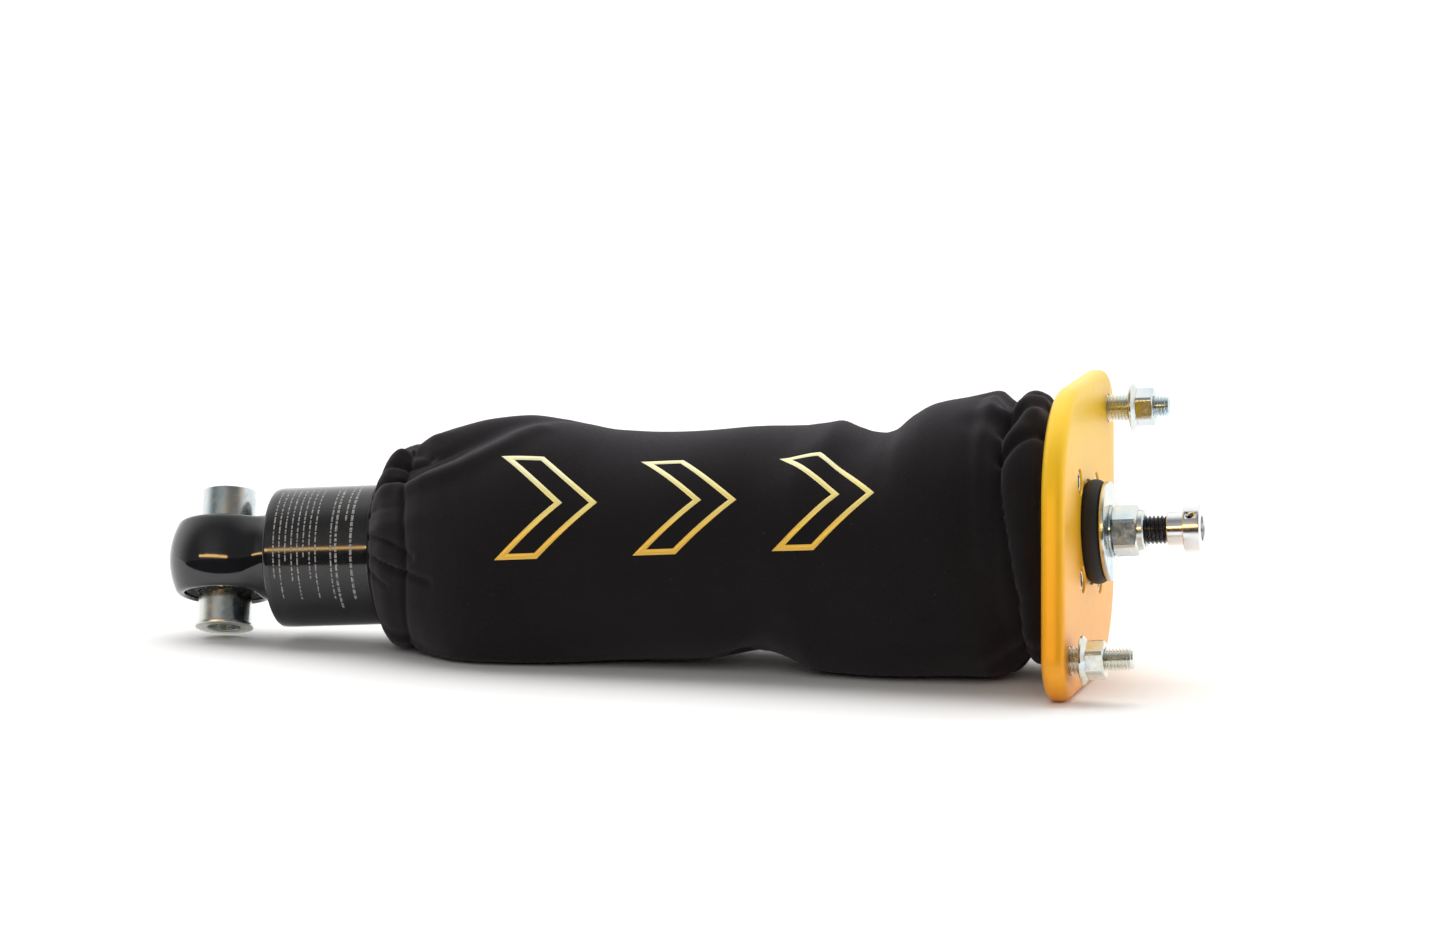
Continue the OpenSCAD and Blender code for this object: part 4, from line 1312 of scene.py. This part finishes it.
def seat_screws():
    """Four socket screws sunk in the plate, with toothed heads."""
    stud = down_front(STUD_ROLL)
    across = np.cross((1.0, 0.0, 0.0), stud)
    foot, top = 306.5, PLATE_FACE - 0.6
    sides = 240
    around = np.arange(sides) * 360.0 / sides
    tooth = 4.45 - 0.18 * (0.5 + 0.5 * np.cos(np.radians(around) * 30))
    socket = hex_radius(around, 5.0, 0.0)
    rings = [(foot, 0.4), (foot, 2.9), (top - 3.0, 2.9), (top - 3.0, tooth - 0.2),
             (top - 2.8, tooth), (top - 0.5, tooth), (top, tooth - 0.5), (top, socket + 0.25),
             (top - 0.2, socket), (top - 2.0, socket), (top - 2.6, 0.4)]
    screws = []
    for quarter in range(4):
        turn = quarter * math.pi / 2
        centre = SCREW_CIRCLE * (math.cos(turn) * stud + math.sin(turn) * across)
        screws.append(ringed("seat_screw", Axis(origin=centre), around, rings))
    return dress(join("seat_screws_socket", screws), "zinc_steel", "top_mount", ["seat_screws"])


def mount_rubbers():
    """The bush on each side of the plate, squeezed into a soft doughnut."""
    start, end = span("upper_mount_rubber")
    inner = 8.8
    face = PLATE_FACE - 1.0
    turn = np.linspace(-math.pi / 2, math.pi / 2, 15)
    half = (end - face) / 2
    bulge = [(face + half + half * math.sin(t), 16.2 + 3.05 * math.cos(t) ** 0.8) for t in turn]
    outline = [(start, inner), (start, 12.2), (face, 12.3)] + bulge + [(end, inner)]
    upper = lathe("upper_bush_rubber", outline, sharp=50.0)
    dress(upper, "black_rubber", "rubbers", ["upper_mount_rubber"])
    low, high = span("lower_mount_rubber")
    half = (high - low) / 2
    bulge = [(low + half + half * math.sin(t), 16.3 + 2.8 * math.cos(t) ** 0.8) for t in turn]
    outline = [(low, inner)] + bulge + [(high, inner)]
    lower = lathe("lower_bush_rubber", outline, sharp=50.0)
    dress(lower, "black_rubber", "rubbers", ["lower_mount_rubber"])


def bush_washers():
    """A wide washer beyond each rubber."""
    for side in ("upper", "lower"):
        name, node = side + "_bush_washer", side + "_washer"
        start, end = span(node)
        corners = [(start, 6.1), (start, 18.3), (end, 18.3), (end, 6.1)]
        outline = rounded(corners, [0.1, 0.5, 0.35, 0.1])
        dress(lathe(name, outline, sides=160), "zinc_steel", "rod", [node])


def rod_nut():
    """Tall nut on the rod: washer face, hexagon and a plain collar."""
    start, end = span("rod_nut")
    hex_end = start + 10.3
    base = [(start, 6.3), (start, 9.5), (start + 0.25, 9.75), (start + 0.9, 9.7),
            (start + 1.0, 8.3)]
    nut = hex_nut("rod_nut_tall", DAMPER, start, hex_end, ROD_NUT_AF, 6.05, base=base,
                  collar=(end - hex_end, 7.6))
    return dress(bevel(nut, 0.2), "zinc_steel", "rod", ["rod_nut"])


def rod_end():
    """The rod: chromed shaft inside, black threaded end above the nut."""
    start, end = span("piston_rod")
    nut_top = span("rod_nut")[1]
    thick, thin = 166.5, 310.0
    shaft = rounded([(start, 2.0), (start, 4.0), (thick, 4.0), (thick, 6.25), (thin, 6.25),
                     (thin, 6.0), (nut_top - 1.0, 6.0), (nut_top - 1.0, 2.2), (start + 10.0, 2.2)],
                    [0, 0.5, 0.1, 0.4, 0.2, 0.1, 0, 0, 0])
    dress(lathe("rod_shaft", shaft, sides=96), "chromed_rod", "rod", ["piston_rod"])
    tip = thread("rod_thread_end", DAMPER, nut_top - 1.0, end, ROD_THREAD_R, ROD_PITCH,
                 depth=0.85, phase=0.2, chamfer=0.9, core=2.2, sides=96)
    dress(tip, "chromed_rod", "rod", material=BLACK_OXIDE)


def adjuster():
    """Rebound knob with a drilled side and end, and its set screw."""
    start, end = span("adjuster_knob")
    head = 367.6
    turned = rounded([(start, 2.1), (start, 6.5), (head, 6.5), (head, 9.3), (end, 9.3),
                      (end, 4.6), (end - 3.0, 4.6), (end - 3.0, 2.1)],
                     [0.1, 0.5, 0.35, 0.45, 0.5, 0.35, 0.1, 0.1], 5)
    knob = lathe("rebound_knob", turned, sides=192)
    drill = Axis(origin=((head + end) / 2 - 0.5, 0, 0), along=down_front(130.0), zero=(1, 0, 0))
    hole = [(2.4, 0.02), (2.4, 1.45), (12.0, 1.45), (12.0, 0.02)]
    cutter = lathe("side_drill", hole, drill, 48, closed=False)
    close_poles(cutter)
    cut = knob.modifiers.new("drilled", "BOOLEAN")
    cut.operation = "DIFFERENCE"
    cut.object = cutter
    cut.solver = "EXACT"
    apply_modifiers(knob)
    bpy.data.objects.remove(cutter)
    dress(knob, "bare_aluminium", "adjuster", ["adjuster_knob"])
    screw = hex_socket("knob_grub_screw", drill, 2.45, 6.6, 1.36, 1.3)
    dress(screw, "black_anodised", "adjuster", ["knob_set_screw"])


def hex_socket(name, axis, start, end, radius, across_flats):
    """A grub screw: a small threaded pin with a hexagon socket."""
    sides = 96
    around = np.arange(sides) * 360.0 / sides
    socket = hex_radius(around, across_flats, 0.0)
    rings = [(start, 0.02), (start, radius - 0.25), (start + 0.3, radius), (end - 0.25, radius),
             (end, radius - 0.2), (end, socket + 0.1), (end - 0.1, socket), (end - 1.5, socket),
             (end - 1.7, 0.02)]
    return ringed(name, axis, around, rings, closed=False)


def apply_modifiers(piece):
    """Turns a piece's modifiers into plain mesh."""
    graph = bpy.context.evaluated_depsgraph_get()
    mesh = bpy.data.meshes.new_from_object(piece.evaluated_get(graph))
    piece.modifiers.clear()
    piece.data = mesh


# ---- inside ----


def coil_spring():
    """The spring as a smooth bar with flattened ends."""
    low, high = span("coil_spring")
    wire, turns, inner_r = 7.5, 7.5, 28.0
    sides, steps = 20, 48
    coil = inner_r + wire / 2
    total = high - low - wire
    dead = 0.9
    closed = wire + 0.5
    pitch = (total - 2 * dead * closed) / (turns - 2 * dead)
    count = int(turns * steps)
    points = []
    for i in range(count + 1):
        turn = turns * i / count
        if turn < dead:
            rise = turn * closed
        elif turn > turns - dead:
            rise = total - (turns - turn) * closed
        else:
            rise = dead * closed + (turn - dead) * pitch
        for j in range(sides):
            around = 2 * math.pi * j / sides
            radius = coil + wire / 2 * math.cos(around)
            along = low + wire / 2 + rise + wire / 2 * math.sin(around)
            points.append(polar(along, -360.0 * turn, radius))
    faces = grid_faces(count + 1, sides)
    faces += [tuple(range(sides)), tuple(range(count * sides, (count + 1) * sides))]
    piece = finish_mesh("spring_coil", points, faces, 60.0)
    dress(piece, "spring_coat", "perch", ["coil_spring"])
    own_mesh(piece)


def bump_stop():
    """Foam bump stop with two waists."""
    low, high = span("bump_stop")
    along = np.linspace(low, high, 60)
    waist = 2.6 * (hill(along, low + 10.0, 2.6) + hill(along, low + 20.0, 2.6))
    ends = 1.2 * (np.exp(-(along - low) / 0.8) + np.exp(-(high - along) / 0.8))
    bore_r, foam_r = 6.4, 17.0
    outline = [(low, bore_r), *zip(along, foam_r - waist - ends), (high, bore_r)]
    piece = lathe("bump_stop_foam", outline, sharp=60.0)
    dress(piece, "bump_foam", "rod", ["bump_stop"])
    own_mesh(piece)


def build():
    dress_cad_nodes()
    eye_casting()
    bracket_cup()
    eye_bush()
    bolt_sleeve()
    cup_label()
    cloth_sleeve()
    sleeve_print()
    hem_elastics()
    top_plate()
    mount_studs()
    seat_screws()
    mount_rubbers()
    bush_washers()
    rod_nut()
    rod_end()
    adjuster()
    coil_spring()
    bump_stop()


set_camera()
lay_floor()
set_studio()
build()
